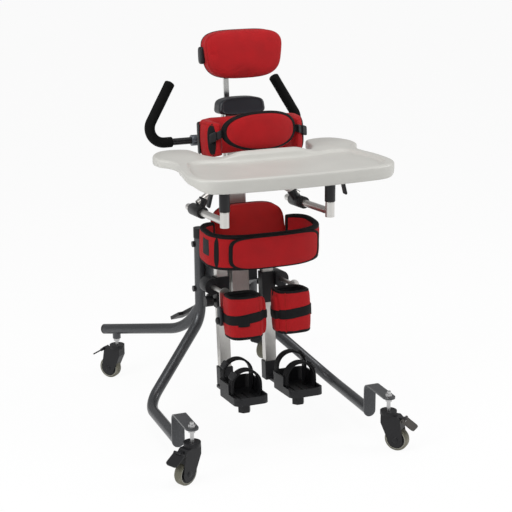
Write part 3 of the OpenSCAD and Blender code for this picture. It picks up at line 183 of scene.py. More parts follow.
def smooth_line(points, count, closed=False):
    """A Catmull-Rom curve through the points, read at evenly spaced parameters."""
    p = np.asarray(points, float)
    n = len(p)
    t = np.linspace(0, n if closed else n - 1, count, endpoint=not closed)
    i = np.minimum(t.astype(int), n - 1 if closed else n - 2)
    f = (t - i)[:, None]
    if closed:
        a, b, c, d = (p[(i + k) % n] for k in (-1, 0, 1, 2))
    else:
        q = np.vstack([2 * p[0] - p[1], p, 2 * p[-1] - p[-2]])
        a, b, c, d = (q[i + k] for k in (0, 1, 2, 3))
    bend, twist = 2 * a - 5 * b + 4 * c - d, 3 * b - 3 * c + d - a
    return 0.5 * (2 * b + (c - a) * f + bend * f ** 2 + twist * f ** 3)


def evenly(path, count, closed=False):
    """The same path with points at equal distances."""
    p = np.vstack([path, path[:1]]) if closed else np.asarray(path, float)
    s = np.concatenate([[0], np.cumsum(np.linalg.norm(np.diff(p, axis=0), axis=1))])
    at = np.linspace(0, s[-1], count, endpoint=not closed)
    return np.stack([np.interp(at, s, p[:, k]) for k in range(p.shape[1])], -1)


def wave(t, power):
    """A sine or cosine flattened towards a square: sign(t) |t| to the 2/power."""
    return np.sign(t) * np.abs(t) ** (2 / power)


def oval(a, b, power, count):
    """Rounded rectangle of half sizes a and b: power 2 is an ellipse, more is squarer."""
    t = np.linspace(0, 2 * np.pi, count, endpoint=False)
    return evenly(np.stack([a * wave(np.cos(t), power), b * wave(np.sin(t), power)], -1), count, True)


def sweep(path, section, up, closed=False):
    """Carry a section along a path. Its first number goes sideways, its second along up."""
    path = np.asarray(path, float)
    ahead = np.roll(path, -1, 0) - np.roll(path, 1, 0) if closed else np.gradient(path, axis=0)
    side = unit(np.cross(ahead, np.broadcast_to(up, path.shape)))
    rise = unit(np.cross(side, ahead))
    s = np.broadcast_to(section, (len(path),) + np.shape(section)[-2:])
    return path[:, None] + s[..., :1] * side[:, None] + s[..., 1:] * rise[:, None]


def ring(radius, count):
    """A round section."""
    t = np.linspace(0, 2 * np.pi, count, endpoint=False)
    return np.stack([radius * np.cos(t), radius * np.sin(t)], -1)


def lathe(profile, centre, axis, count):
    """Turn a profile of (radius, height) about an axis through the centre."""
    axis = unit(np.asarray(axis, float))
    u = unit(np.cross(axis, [0.3, 0.9, 0.1] if abs(axis[1]) < 0.9 else [1, 0, 0]))
    v = np.cross(axis, u)
    t = np.linspace(0, 2 * np.pi, count, endpoint=False)[:, None]
    spokes = np.cos(t) * u + np.sin(t) * v
    profile = np.asarray(profile, float)
    return np.asarray(centre, float) + profile[:, None, :1] * spokes + profile[:, None, 1:] * axis

# %% [markdown]
# ## Finishes
# A finish is a node tree, but node trees are easier to read as sums. The class below wraps one
# socket: adding or multiplying two of them adds a Math node. Everything else, such as noise or a
# colour mix, comes from one method that makes a node, sets it up and links it.

# %% Sockets as numbers
class Wire:
    """A value that runs through a material."""

    def __init__(self, finish, socket):
        self.finish, self.socket = finish, socket

    def math(self, operation, *values):
        return self.finish.node("Math", {"operation": operation}, dict(enumerate(values)))

    def __add__(self, other):
        return self.math("ADD", self, other)

    def __mul__(self, other):
        return self.math("MULTIPLY", self, other)

    def sine(self):
        return self.math("SINE", self)

    def above(self, level, soft):
        """0 below the level, 1 above it, with a soft step between."""
        return self.finish.node("MapRange", {"interpolation_type": "SMOOTHSTEP"},
                                {"Value": self, "From Min": level - soft, "From Max": level + soft})


class Finish:
    """A material with one Principled shader."""

    def __init__(self, name, **sockets):
        self.material = bpy.data.materials.new(name)
        self.material.use_nodes = True
        self.tree = self.material.node_tree
        self.shader = self.tree.nodes["Principled BSDF"]
        self.set(**sockets)

    def link(self, socket, value):
        if isinstance(value, Wire):
            self.tree.links.new(value.socket, socket)
        elif value is not None:
            opaque = socket.type == "RGBA" and len(value) == 3
            socket.default_value = (*value, 1.0) if opaque else value

    def node(self, kind, settings=None, sockets=None, out=0):
        made = self.tree.nodes.new("ShaderNode" + kind)
        for key, value in (settings or {}).items():
            setattr(made, key, value)
        for key, value in (sockets or {}).items():
            self.link(made.inputs[key], value)
        return Wire(self, made.outputs[out])

    def set(self, **sockets):
        for key, value in sockets.items():
            self.link(self.shader.inputs[key.replace("_", " ").title().replace("Ior", "IOR")], value)
        return self

    def place(self, scale=(1, 1, 1)):
        """Object coordinates, stretched along each axis."""
        where = self.node("TexCoord", out="Object")
        return self.node("Mapping", {"vector_type": "POINT"}, {"Vector": where, "Scale": scale})

    def noise(self, scale, detail=2.0, stretch=(1, 1, 1)):
        return self.node("TexNoise", {"noise_dimensions": "3D"},
                         {"Vector": self.place(stretch), "Scale": scale, "Detail": detail})

    def cloth(self):
        """The two UV directions, in metres along the cloth."""
        parts = self.node("SeparateXYZ", None, {"Vector": self.node("UVMap", {"uv_map": "cloth"})}, out="X")
        return parts, Wire(self, parts.socket.node.outputs["Y"])

    def mix(self, share, first, second):
        made = self.node("Mix", {"data_type": "RGBA"}, {0: share}, out=2)
        inputs = made.socket.node.inputs
        self.link(inputs[6], first)
        self.link(inputs[7], second)
        return made

    def bump(self, height, strength, distance):
        sockets = {"Height": height, "Strength": strength, "Distance": distance}
        return self.set(normal=self.node("Bump", None, sockets))


def shade(colour, share):
    """A colour times a share, and never above white."""
    return tuple(min(1.0, c * share) for c in colour)


def mottled(finish, colour, depth, scale):
    """A colour that drifts a little darker and lighter over the surface."""
    drift = finish.noise(scale, 3.0).above(0.5, 0.22)
    return finish.mix(drift, shade(colour, 1 - depth), shade(colour, 1 + depth))

# %% [markdown]
# ### Hard finishes
# The base is painted a dark metallic grey, the column and poles are anodised aluminium, drawn
# along their length, the mouldings are black plastic with a fine spark texture, and the tray is a
# pale, slightly warm plastic with a soft orange peel.

# %% Metals and plastics
def metal(name, colour, roughness, stretch, scale, depth):
    """Metal with drawn or sprayed streaks: the streaks change roughness a little and the colour less."""
    f = Finish(name, metallic=1.0)
    streak = f.noise(scale, 3.0, stretch)
    f.set(base_color=f.mix(streak.above(0.5, 0.3), shade(colour, 1 - depth), colour),
          roughness=streak * 0.16 + (roughness - 0.08))
    f.bump(streak, 0.05, 0.0004)
    return f.material


def moulded(name, colour, roughness, grain, strength, drift=0.09, **more):
    """Moulded plastic: a fine even grain, and a slow drift of colour and polish."""
    f = Finish(name, **more)
    fine = f.noise(grain, 2.0)
    slow = f.noise(9.0, 2.0)
    f.set(base_color=mottled(f, colour, drift, 14.0), roughness=slow * 0.16 + (roughness - 0.08))
    f.bump(fine, strength, 0.0004)
    return f.material


def painted(name, colour, flake):
    """Metallic paint: tiny flakes that are lighter than the ground, under a thin clear coat."""
    f = Finish(name, metallic=0.55, coat_roughness=0.22)
    cells = f.node("TexVoronoi", {"feature": "F1"}, {"Vector": f.place(), "Scale": 1500.0}, out="Color")
    spark = f.node("SeparateColor", None, {"Color": cells}).above(0.8, 0.12)
    drift = f.noise(6.0, 3.0)
    f.set(base_color=f.mix(spark * 0.5, colour, flake), roughness=drift * 0.14 + 0.30,
          coat_weight=drift * 0.3 + 0.1)
    f.bump(f.noise(420.0, 1.0), 0.05, 0.0003)
    return f.material


frame_paint = painted("frame_paint", (0.050, 0.052, 0.056), (0.15, 0.155, 0.165))
clamp_paint = painted("clamp_paint", (0.075, 0.085, 0.10), (0.20, 0.22, 0.25))
silver_tube = metal("silver_tube", (0.66, 0.645, 0.62), 0.36, (1, 1, 0.02), 900.0, 0.14)
silver_cross = metal("silver_cross", (0.70, 0.685, 0.66), 0.32, (1, 0.02, 1), 900.0, 0.12)
chrome_bar = metal("chrome_bar", (0.78, 0.78, 0.77), 0.14, (1, 1, 0.05), 300.0, 0.06)
zinc_steel = metal("zinc_steel", (0.56, 0.56, 0.56), 0.34, (1, 1, 1), 700.0, 0.2)
dark_steel = metal("dark_steel", (0.05, 0.05, 0.055), 0.42, (1, 1, 1), 600.0, 0.2)
black_plastic = moulded("black_plastic", (0.0075, 0.0075, 0.0090), 0.46, 1400.0, 0.16,
                        specular_ior_level=0.32)
cap_plastic = moulded("cap_plastic", (0.013, 0.015, 0.020), 0.42, 1100.0, 0.20, specular_ior_level=0.4)
pedal_plastic = moulded("pedal_plastic", (0.045, 0.041, 0.036), 0.46, 1200.0, 0.16)
black_paint = moulded("black_paint", (0.008, 0.008, 0.009), 0.30, 500.0, 0.06)
tray_plastic = moulded("tray_plastic", (0.505, 0.500, 0.470), 0.42, 520.0, 0.07, 0.018)
print("hard finishes made")

# %% [markdown]
# ### Rubber and foam
# The tyres are a grey-olive rubber with fine moulding lines and dust. The push grips are foam
# sleeves, dull and full of tiny pores.

# %% Rubber and foam
def rubber(name, colour, dust):
    """Dull rubber: where slow noise is high, dust lightens it and takes its polish."""
    f = Finish(name)
    worn = f.noise(38.0, 4.0)
    f.set(base_color=f.mix(worn.above(0.58, 0.16), colour, dust), roughness=worn * 0.2 + 0.55)
    f.bump(f.noise(800.0, 2.0), 0.12, 0.0004)
    return f.material


def foamed(name, colour):
    """Foam: the distance to the nearest cell centre is the height of a pore's wall."""
    f = Finish(name, specular_ior_level=0.15)
    pores = f.node("TexVoronoi", {"feature": "F1"}, {"Vector": f.place(), "Scale": 900.0}, out="Distance")
    f.set(base_color=mottled(f, colour, 0.3, 30.0), roughness=pores * 0.2 + 0.8)
    f.bump(pores, 0.35, 0.0006)
    return f.material


grey_tyre = rubber("grey_tyre", (0.115, 0.110, 0.078), (0.20, 0.19, 0.15))
tyre_line = rubber("tyre_line", (0.42, 0.42, 0.38), (0.30, 0.30, 0.27))
foam = foamed("foam", (0.0032, 0.0032, 0.0030))

# %% [markdown]
# ### Cloth
# The pads are covered in red knitted nylon over foam. Each stitch is a small bump about a
# millimetre across, with painted shade in the gaps between stitches, the colour drifts with the
# nap, and a little sheen lightens grazing angles. Bindings and straps are black woven tape with
# ribs across their length and painted shade in the grooves between them. All of these read the
# UV map in metres, so that the weave runs along the cloth.

# %% Knit, tape and lining
STITCH = 2 * math.pi / 0.0013


def knit(name, colour, sheen):
    """Knitted cloth: a sine along u, shifted to and fro by a slower sine of v, times a sine along v."""
    f = Finish(name, sheen_weight=sheen, sheen_roughness=0.45, specular_ior_level=0.2)
    u, v = f.cloth()
    loops = (u * STITCH + (v * STITCH * 0.5).sine() * 0.7).sine() * (v * STITCH).sine()
    nap = f.noise(26.0, 4.0)
    tone = f.mix(nap.above(0.5, 0.25), shade(colour, 0.90), shade(colour, 1.07))
    # the gaps between stitches, where the loops are low, get painted shade: 0.62 of the colour
    f.set(base_color=f.mix(loops.above(-0.55, 0.35), shade(colour, 0.62), tone),
          roughness=nap * 0.14 + 0.74)
    f.bump(loops * 0.5 + f.noise(900.0, 2.0) * 0.5, 0.42, 0.0005)
    return f.material


def tape(name, colour, rib):
    """Woven tape: a sine along v, shifted to and fro by a sine along u, makes the ribs."""
    f = Finish(name, specular_ior_level=0.18)
    u, v = f.cloth()
    ribs = (v * (2 * math.pi / rib) + (u * (2 * math.pi / rib)).sine() * 0.6).sine()
    # the grooves between ribs, where the ribs are low, get painted shade: half the colour
    f.set(base_color=f.mix(ribs.above(-0.3, 0.6), shade(colour, 0.5), colour),
          roughness=f.noise(60.0, 3.0) * 0.2 + 0.62)
    f.bump(ribs, 0.4, 0.0004)
    return f.material


red_fabric = knit("red_fabric", (0.385, 0.0070, 0.0100), 0.05)
inner_fabric = knit("inner_fabric", (0.340, 0.0080, 0.0075), 0.03)
# black lining cloth, also laid in the slots as their painted shade
lining = knit("lining", (0.006, 0.006, 0.007), 0.02)
binding = tape("binding", (0.0050, 0.0046, 0.0052), 0.0016)
webbing = tape("webbing", (0.0058, 0.0056, 0.0064), 0.0024)
patch_cloth = tape("patch_cloth", (0.030, 0.031, 0.034), 0.0012)
print("cloth finishes made")

# %% [markdown]
# ## Finishes on the solids
# The hard solids keep their shape. Each gets its finish, and those whose names start with an entry
# of the table below also get a weld and a narrow bevel that take the knife edge off their corners,
# as moulding and deburring do on the real part.

# %% Dress the solids
def finish_of(name):
    rules = [
        (("front_leg", "rear_leg", "cross_tube", "carrier"), frame_paint), (("rear_clamp",), clamp_paint),
        (("caster_stems",), zinc_steel), (("tray_arms", "tray_frame", "knee_bracket"), silver_cross),
        (("column", "leg_poles"), silver_tube), (("head_bar",), chrome_bar), (("tyre",), grey_tyre),
        (("handle_tubes",), black_paint), (("handle_grips",), foam), (("pivot_bolts",), dark_steel),
        (("brake_front_right",), pedal_plastic), (("top_cap",), cap_plastic), (("tray_top",), tray_plastic),
        (("head_pad", "chest_wrap", "chest_panel", "hip_back_pad", "hip_belt", "knee_cuff"), red_fabric)]
    return next((finish for starts, finish in rules if name.startswith(starts)), black_plastic)


WELD, SHARP = 1e-5, math.radians(50)


def ease(solid, width):
    """Weld the seams of the mesh and round its sharp edges by a small radius."""
    weld = solid.modifiers.new("weld", "WELD")
    weld.merge_threshold = WELD
    bevel = solid.modifiers.new("ease", "BEVEL")
    bevel.width, bevel.segments, bevel.limit_method = width, 2, "ANGLE"
    bevel.angle_limit, bevel.harden_normals = SHARP, True


EASED = {"fork": 0.0018, "brake": 0.0014, "sandal": 0.0012, "foot": 0.0020, "knee_clamp": 0.0016,
         "tray_clamps": 0.0016, "tray_sockets": 0.0014, "tray_lever": 0.0014, "tilt_pedal": 0.0030,
         "rear_clamp": 0.0016, "hip_carriage": 0.0014, "chest_carriage": 0.0014, "carrier": 0.0010}
for name, solid in nodes.items():
    solid.data.materials.clear()
    solid.data.materials.append(finish_of(name))
    for start, width in EASED.items():
        if name.startswith(start):
            ease(solid, width)
print("solids dressed:", len(nodes))

# %% [markdown]
# ## Camera and studio
# The camera stands where the photograph was taken from: in front and a little to the left, above
# the tray, with a long lens. Two large soft lights stand left and right and a third hangs above,
# so the front faces stay a little darker than the sides. The floor is pale and keeps the shadow.

# %% Camera
FOCAL_PIXELS, FRAME_PIXELS, SENSOR = 1377.6, 512, 36.0
CAMERA_PLACE, SHIFT_PIXELS = (-1.495, -3.994, 1.754), (-0.35, -2.81)
turn, tip, roll = (math.radians(a) for a in (-21.29, 15.83, -0.352))
right = np.array([math.cos(turn), math.sin(turn), 0])
back = np.array([math.sin(turn) * math.cos(tip), -math.cos(turn) * math.cos(tip), math.sin(tip)])
above = np.cross(back, right)
right, above = (math.cos(roll) * right + math.sin(roll) * above,
                math.cos(roll) * above - math.sin(roll) * right)
lens = bpy.data.cameras.new("camera")
lens.sensor_width = SENSOR
lens.lens = FOCAL_PIXELS * SENSOR / FRAME_PIXELS
lens.shift_x, lens.shift_y = (shift / FRAME_PIXELS for shift in SHIFT_PIXELS)
camera = bpy.data.objects.new("camera", lens)
pose = np.eye(4)
pose[:3, :3] = np.stack([right, above, back], -1)
pose[:3, 3] = CAMERA_PLACE
camera.matrix_world = Matrix(pose)
bpy.context.scene.collection.objects.link(camera)
bpy.context.scene.camera = camera

# %% Floor and lights
scene = bpy.context.scene
scene.view_settings.view_transform = "Standard"
FLOOR_HALF, FLOOR_GLOW, AMBIENT = 30.0, 0.93, 0.42


def seen_directly(finish):
    """1 for rays from the camera, a mirror or glass, 0 for light that bounces on to the object."""
    path = finish.node("LightPath").socket.node.outputs
    kinds = ("Camera", "Glossy", "Transmission")
    seen, mirrored, passed = (Wire(finish, path["Is %s Ray" % kind]) for kind in kinds)
    return seen + mirrored + passed


edge = np.linspace(-FLOOR_HALF, FLOOR_HALF, 9)
floor = grid_object("floor", xyz(edge[None], edge[:, None], 0.0), wrap_columns=False, caps=False)
paper = Finish("studio_paper", base_color=(0.88, 0.88, 0.88), roughness=0.9, specular_ior_level=0.1)
glow = paper.node("Emission", None, {"Color": (1.0, 1.0, 1.0), "Strength": 1.0})
seen = seen_directly(paper)
share = seen.math("MINIMUM", seen, 1.0) * FLOOR_GLOW
sheet = paper.node("MixShader", None, {0: share, 1: Wire(paper, paper.shader.outputs[0]), 2: glow})
paper.tree.links.new(sheet.socket, paper.tree.nodes["Material Output"].inputs["Surface"])
floor.data.materials.append(paper.material)

world = bpy.data.worlds.new("studio")
scene.world = world
world.use_nodes = True
sky = world.node_tree.nodes["Background"]
sky.inputs["Color"].default_value = (1.0, 1.0, 1.0, 1.0)
path = world.node_tree.nodes.new("ShaderNodeLightPath")
level = world.node_tree.nodes.new("ShaderNodeMapRange")
level.inputs["To Min"].default_value, level.inputs["To Max"].default_value = AMBIENT, 1.0
world.node_tree.links.new(path.outputs["Is Camera Ray"], level.inputs["Value"])
world.node_tree.links.new(level.outputs["Result"], sky.inputs["Strength"])


def soft_light(name, place, target, size, watts):
    """A round area light at a place, turned towards its target."""
    lamp = bpy.data.lights.new(name, "AREA")
    lamp.shape, lamp.size, lamp.energy = "DISK", size, watts
    holder = bpy.data.objects.new(name, lamp)
    toward = unit(np.subtract(place, target))
    side = unit(np.cross([0, 0, 1.0], toward))
    m = np.eye(4)
    m[:3, :3] = np.stack([side, np.cross(toward, side), toward], -1)
    m[:3, 3] = place
    holder.matrix_world = Matrix(m)
    scene.collection.objects.link(holder)


soft_light("light_left", (-3.0, -1.2, 2.2), (0, -0.1, 0.7), 1.8, 58)
soft_light("light_right", (3.0, -1.5, 2.0), (0, -0.1, 0.7), 1.8, 54)
soft_light("light_above", (-0.4, -1.4, 4.2), (0, -0.1, 0.6), 2.4, 62)
print("camera and lights set")

# %% [markdown]
# ## Cloth covers as surfaces
# A cover is a function of two numbers: u along the piece and v around it. Sampling the function
# gives the cover itself. Sampling a narrow band of it, lifted by the thickness of a tape, gives a
# binding that lies on the cover exactly, with its underside sunk into the cloth.

# %% Bands that lie on a cover
def normals(cover, u, v, step=1e-3):
    """Direction away from the cover, from the cross product of its two slopes."""
    across = cover(u + step, v) - cover(u - step, v)
    along_v = cover(u, v + step) - cover(u, v - step)
    return unit(np.cross(across, along_v))


def facing(cover, v_span):
    """Which way the slopes' cross product points: the sign of the volume that the cover encloses."""
    u, v = np.meshgrid(np.linspace(0, 1, 60), np.linspace(0, v_span, 60), indexing="ij")
    p = cover(u, v)
    p = p - p.mean((0, 1))
    a, b, c = p[:-1, :-1], p[1:, :-1], p[:-1, 1:]
    cover.side = float(np.sign(np.einsum("ijk,ijk->ij", a, np.cross(b - a, c - a)).sum()))
    return cover


def hug(name, cover, low, high, run, lift, closed=False, over_v=True, columns=9, sunk=0.0008):
    """A tape on a cover. It follows run, and spans low to high in the other direction.

    Its section rises to lift with rounded edges and returns below the surface."""
    run = np.asarray(run, float)[:, None]
    share = np.linspace(0, 1, columns)[None]
    share = np.concatenate([share, share[:, ::-1]], 1)
    lo, hi = (np.broadcast_to(np.asarray(w, float).reshape(-1, 1), run.shape) for w in (low, high))
    width = lo + (hi - lo) * share
    length = np.broadcast_to(run, width.shape)
    u, v = (width, length) if over_v else (length, width)
    rise = np.where(np.arange(2 * columns)[None] < columns, lift * (1 - np.abs(2 * share - 1) ** 6), -sunk)
    grid = cover(u, v) + cover.side * rise[..., None] * normals(cover, u, v)
    return grid_object(name, grid, wrap_rows=closed)


def bind(name, body, finish, *where, **more):
    """A tape on a cover, with its finish and its body."""
    return dress(hug(name, *where, **more), body, finish)


def edge_pair(start, end, body, finish, cover, top, before, after, run, lift, closed=False):
    """Tapes along a band's top and foot, each from before to after degrees round its section angle."""
    for name, angle in (("top", top), ("foot", 360 - top)):
        low, high = math.radians(angle - before), math.radians(angle + after)
        bind(start + name + end, body, finish, cover, low, high, run, lift, closed=closed, over_v=False)


# how far a binding, a seam and the painted shade of a slot stand off the cloth
BOUND, SEAM, SLOT = 0.0016, 0.0009, 0.0006


def wrinkle(points, size, depth, seed):
    """Slow waves that make stuffed cloth uneven: three sines of the place, with fixed phases."""
    k = np.random.default_rng(seed).normal(size=(3, 3)) * 2 * np.pi / size
    phase = np.random.default_rng(seed + 1).random(3) * 6.28
    return depth * np.sin(points @ k.T + phase).sum(-1) / 3


def inflate(piece, held, pressure, most, frames=16):
    """Blow up a cover with Blender's cloth. Held points stay, and no point moves further than most."""
    before = np.zeros(len(piece.data.vertices) * 3)
    piece.data.vertices.foreach_get("co", before)
    before = before.reshape(-1, 3)
    group = piece.vertex_groups.new(name="held")
    group.add(np.nonzero(held)[0].tolist(), 1.0, "REPLACE")
    cloth = piece.modifiers.new("cloth", "CLOTH")
    cloth.settings.vertex_group_mass = "held"
    cloth.settings.use_pressure, cloth.settings.uniform_pressure_force = True, pressure
    cloth.settings.effector_weights.gravity = 0.0
    cloth.settings.tension_stiffness = cloth.settings.compression_stiffness = 12.0
    cloth.collision_settings.use_collision = False
    cloth.point_cache.frame_start, cloth.point_cache.frame_end = 1, frames
    for step in range(1, frames + 1):
        scene.frame_set(step)
    posed = piece.evaluated_get(bpy.context.evaluated_depsgraph_get()).to_mesh()
    after = np.zeros(before.size)
    posed.vertices.foreach_get("co", after)
    piece.modifiers.remove(cloth)
    piece.vertex_groups.remove(group)
    scene.frame_set(1)
    move = after.reshape(-1, 3) - before
    far = np.linalg.norm(move, axis=1, keepdims=True)
    move *= np.minimum(1.0, most / np.maximum(far, 1e-9))
    piece.data.vertices.foreach_set("co", (before + move).astype(np.float32).ravel())
    piece.data.update()
    print(piece.name, "swelled by up to", round(float(np.linalg.norm(move, axis=1).max()) * 1000, 1), "mm")
    return piece

# %% [markdown]
# ## Headrest
# A boxed foam cushion: a crowned front sewn to a side strip, narrower below than above, with black
# piping round its back edge. It rests on the black plate that tilts on the chrome bar. The crown is
# a profile scaled over the outline, and the cloth is then swelled between the seams.

# %% Head pad
HEAD = {"y": -110.4 * MM, "z": 1.175, "half_w": 0.126, "half_h": 0.073}


def pad_profile(stops):
    """Curve through (scale of the outline, depth) stops. Depth grows towards the back, in mm."""
    line = smooth_line(stops, 400)
    return lambda t: (np.interp(t, np.linspace(0, 1, 400), line[:, 0]),
                      np.interp(t, np.linspace(0, 1, 400), line[:, 1]) * MM)


def closed_reader(outline):
    """Read a closed outline at any share of its length."""
    table = np.vstack([outline, outline[:1]])
    at = np.linspace(0, 1, len(table))
    return lambda s: (np.interp(s % 1.0, at, table[:, 0]), np.interp(s % 1.0, at, table[:, 1]))


def cushion_cover(outline, stops, y_mid, z_mid, thin=0.0, bow=0.0):
    """A cushion: the outline scaled by the profile at t and set at the profile's depth.

    thin takes depth away by the fourth power of x, and bow bends it back by the square of x."""
    at, profile, half_w = closed_reader(outline), pad_profile(stops), outline[:, 0].max()

    def cover(t, s):
        size, depth = profile(t)
        x, z = at(s)
        x, z = x * size, z * size
        share = x / half_w
        return lean(xyz(x, y_mid + depth * (1 - thin * share ** 4) + bow * share ** 2, z_mid + z))

    return facing(cover, 1.0)


PAD_ROWS, PAD_COLUMNS, OUTLINE_POINTS = np.linspace(0, 1, 62), laps(132), 240


def cushion(name, cover, held_rows, pressure, most):
    """The cover as a mesh, swelled by cloth between the rows that stay in place."""
    piece = grid_object(name, cover(PAD_ROWS[:, None], PAD_COLUMNS[None]))
    # the two cap points come last: the back one stays in place, the front one doesn't
    held = np.append(np.repeat(held_rows, len(PAD_COLUMNS)), [True, False])
    return inflate(piece, held, pressure, most)


half = OUTLINE_POINTS // 2
head_outline = oval(HEAD["half_w"], HEAD["half_h"], np.repeat([3.7, 3.3], half), OUTLINE_POINTS)
head_outline[:, 0] *= 0.97 + 0.075 * head_outline[:, 1] / HEAD["half_h"]
head_cover = cushion_cover(head_outline, [
    (0.04, 35.6), (0.45, 35.8), (0.80, 35.6), (0.945, 34.0), (0.992, 29.0), (1.0, 20.0), (0.992, 8.0),
    (1.0, -2.0), (0.992, -8.5), (0.972, -10.6), (0.972, -14.0), (0.958, -19.5), (0.87, -27.5),
    (0.68, -33.0), (0.36, -35.4), (0.04, -36.0)], HEAD["y"], HEAD["z"])
held_rows = (PAD_ROWS < 0.30) | (np.abs(PAD_ROWS - 0.60) < 0.05)
head_pad = cushion("head_cushion", head_cover, held_rows, 3.0, 0.004)
dress(head_pad, "headrest", red_fabric, ("head_pad",))
bind("head_piping", "headrest", binding, head_cover, 0.225, 0.275, laps(160), 0.0022, closed=True)
bind("head_seam", "headrest", inner_fabric, head_cover, 0.652, 0.676, laps(160), SEAM, closed=True)
print("headrest made")

# %% [markdown]
# ## Chest support
# A thick padded wrap goes round the back and sides, with a slot in each wing where a strap comes
# through, drawn as a dark strip of painted shade. An oval panel with a black binding closes the
# front, and a buckle on each side joins it to the wing. A thin black shell stiffens the wings from
# outside.

# %% Chest wrap
CHEST = {"z": 0.930, "a": 0.140, "b": 0.070, "y": -0.157, "power": 3.2, "end": 130.0, "half_t": 0.022,
         "half_h": 0.056}


def oval_path(a, b, y_mid, power, end):
    """Plan path on an oval from -end to end degrees, measured from one middle, at equal steps."""
    t = np.radians(np.linspace(-end, end, 1201))
    return evenly(np.stack([a * wave(np.sin(t), power), y_mid + b * wave(np.cos(t), power)], -1), 801)


def band_cover(path, half_t, half_h, power, z, tip=0.0, closed=False):
    """A padded band upright along a plan path. u runs along it, v round its section.

    An open band is drawn in at its ends, and tip turns it about its foremost point, so that its ends rise."""
    slope = np.roll(path, -1, 0) - np.roll(path, 1, 0) if closed else np.gradient(path, axis=0)
    table = np.hstack([path, unit(slope)])
    table = np.vstack([table, table[:1]]) if closed else table
    at = np.linspace(0, 1, len(table))
    foremost, side = path[:, 1].min(), -1 if closed else 1

    def cover(u, v):
        u = u % 1.0 if closed else np.clip(u, 0, 1)
        x, y, dx, dy = (np.interp(u, at, column) for column in table.T)
        s = 0.0 if closed else np.abs(2 * u - 1)
        out = side * half_t * (1 - 0.42 * s ** 14) * wave(np.cos(v), power)
        back, up = y + dx * out - foremost, half_h * (1 - 0.16 * s ** 8) * wave(np.sin(v), power)
        return lean(xyz(x - dy * out, foremost + back * math.cos(tip) - up * math.sin(tip),
                        z + up * math.cos(tip) + back * math.sin(tip)))

    return facing(cover, 2 * np.pi)


TURN = np.linspace(0, 2 * np.pi, 48, endpoint=False)
chest_path = oval_path(CHEST["a"], CHEST["b"], CHEST["y"], CHEST["power"], CHEST["end"])
chest_cover = band_cover(chest_path, CHEST["half_t"], CHEST["half_h"], 3.2, CHEST["z"])


def soft_band(name, cover, rows, size, depth, seed, crown=0.0, closed=False):
    """The band with slow wrinkles that fade at open ends, and a crown that swells its outside."""
    u, v = np.broadcast_arrays((laps(rows) if closed else np.linspace(0, 1, rows))[:, None], TURN[None])
    grid = cover(u, v)
    fade = 1.0 if closed else np.clip(8 * (0.5 - np.abs(u - 0.5)), 0, 1)
    swell = wrinkle(grid, size, depth, seed) * fade + crown * np.cos(v)
    out = unit(grid - grid.mean(1, keepdims=True))
    return grid_object(name, grid + swell[..., None] * out, wrap_rows=closed)


chest_wrap = soft_band("chest_wrap_cover", chest_cover, 150, 0.07, 0.0011, 5)
dress(chest_wrap, "chest_support", red_fabric, ("chest_wrap",))
along_band = np.linspace(0.004, 0.996, 150)
edge_pair("chest_seam_", "", "chest_support", inner_fabric, chest_cover, 52, 3, 3, along_band, 0.0007)


def slot_shade(name, body, cover, centre, width, v_low, v_high):
    """A slot: a dark strip of painted shade for the opening, up the outside of a band, wide in the middle and
    pointed at its ends.
    """
    half = width * (1 - np.linspace(-1, 1, 28) ** 2 + 0.06)
    bind(name, body, lining, cover, centre - half, centre + half, np.linspace(v_low, v_high, 28), SLOT)

# %% Chest panel
PANEL = {"y": -0.249, "half_w": 0.119, "half_h": 0.0575, "thin": 0.5, "bow": 0.032, "z": 0.952}
panel_outline = oval(PANEL["half_w"], PANEL["half_h"], 2.3, OUTLINE_POINTS)
panel_cover = cushion_cover(panel_outline, [
    (0.04, 17.6), (0.45, 17.8), (0.80, 17.6), (0.945, 15.5), (0.995, 11.0), (1.0, 4.0), (0.992, -2.0),
    (0.965, -7.5), (0.905, -11.6), (0.86, -12.6), (0.80, -14.4), (0.60, -16.8), (0.33, -17.8),
    (0.04, -18.0)], PANEL["y"], PANEL["z"], PANEL["thin"], PANEL["bow"])
chest_panel = cushion("chest_panel_cover", panel_cover, PAD_ROWS < 0.70, 2.0, 0.003)
dress(chest_panel, "chest_support", red_fabric, ("chest_panel",))
loop = laps(180)
bind("chest_panel_binding", "chest_support", binding, panel_cover, 0.40, 0.625, loop, 0.0018, closed=True)

# %% [markdown]
# The straps are flat webbing on edge, and each buckle is a pair of small rounded mouldings. A
# rounded box is a sphere with its powers raised: the same two angles, squarer waves.

# %% Straps and buckles of the chest panel
BOX_ROWS = 28


def rounded_box(name, body, finish, centre, half, power, axes=TILTED):
    """Superellipsoid: two angles give a ball, and flattened waves press it towards a box."""
    t = np.linspace(-np.pi / 2, np.pi / 2, BOX_ROWS)[1:-1, None]
    p = np.linspace(0, 2 * np.pi, 2 * BOX_ROWS, endpoint=False)[None]
    flat = wave(np.cos(t), power)
    ball = xyz(half[0] * flat * wave(np.cos(p), power), half[1] * flat * wave(np.sin(p), power),
               half[2] * wave(np.sin(t), power))
    return dress(grid_object(name, np.asarray(centre) + ball @ axes), body, finish)


def flat_strap(name, body, path, half_w, half_t, up, rows, columns):
    """Webbing along a path: a flat section with rounded edges. Its width runs along up."""
    band = sweep(evenly(path, rows), oval(half_t, half_w, 6.0, columns), up)
    return dress(grid_object(name, band), body, webbing)


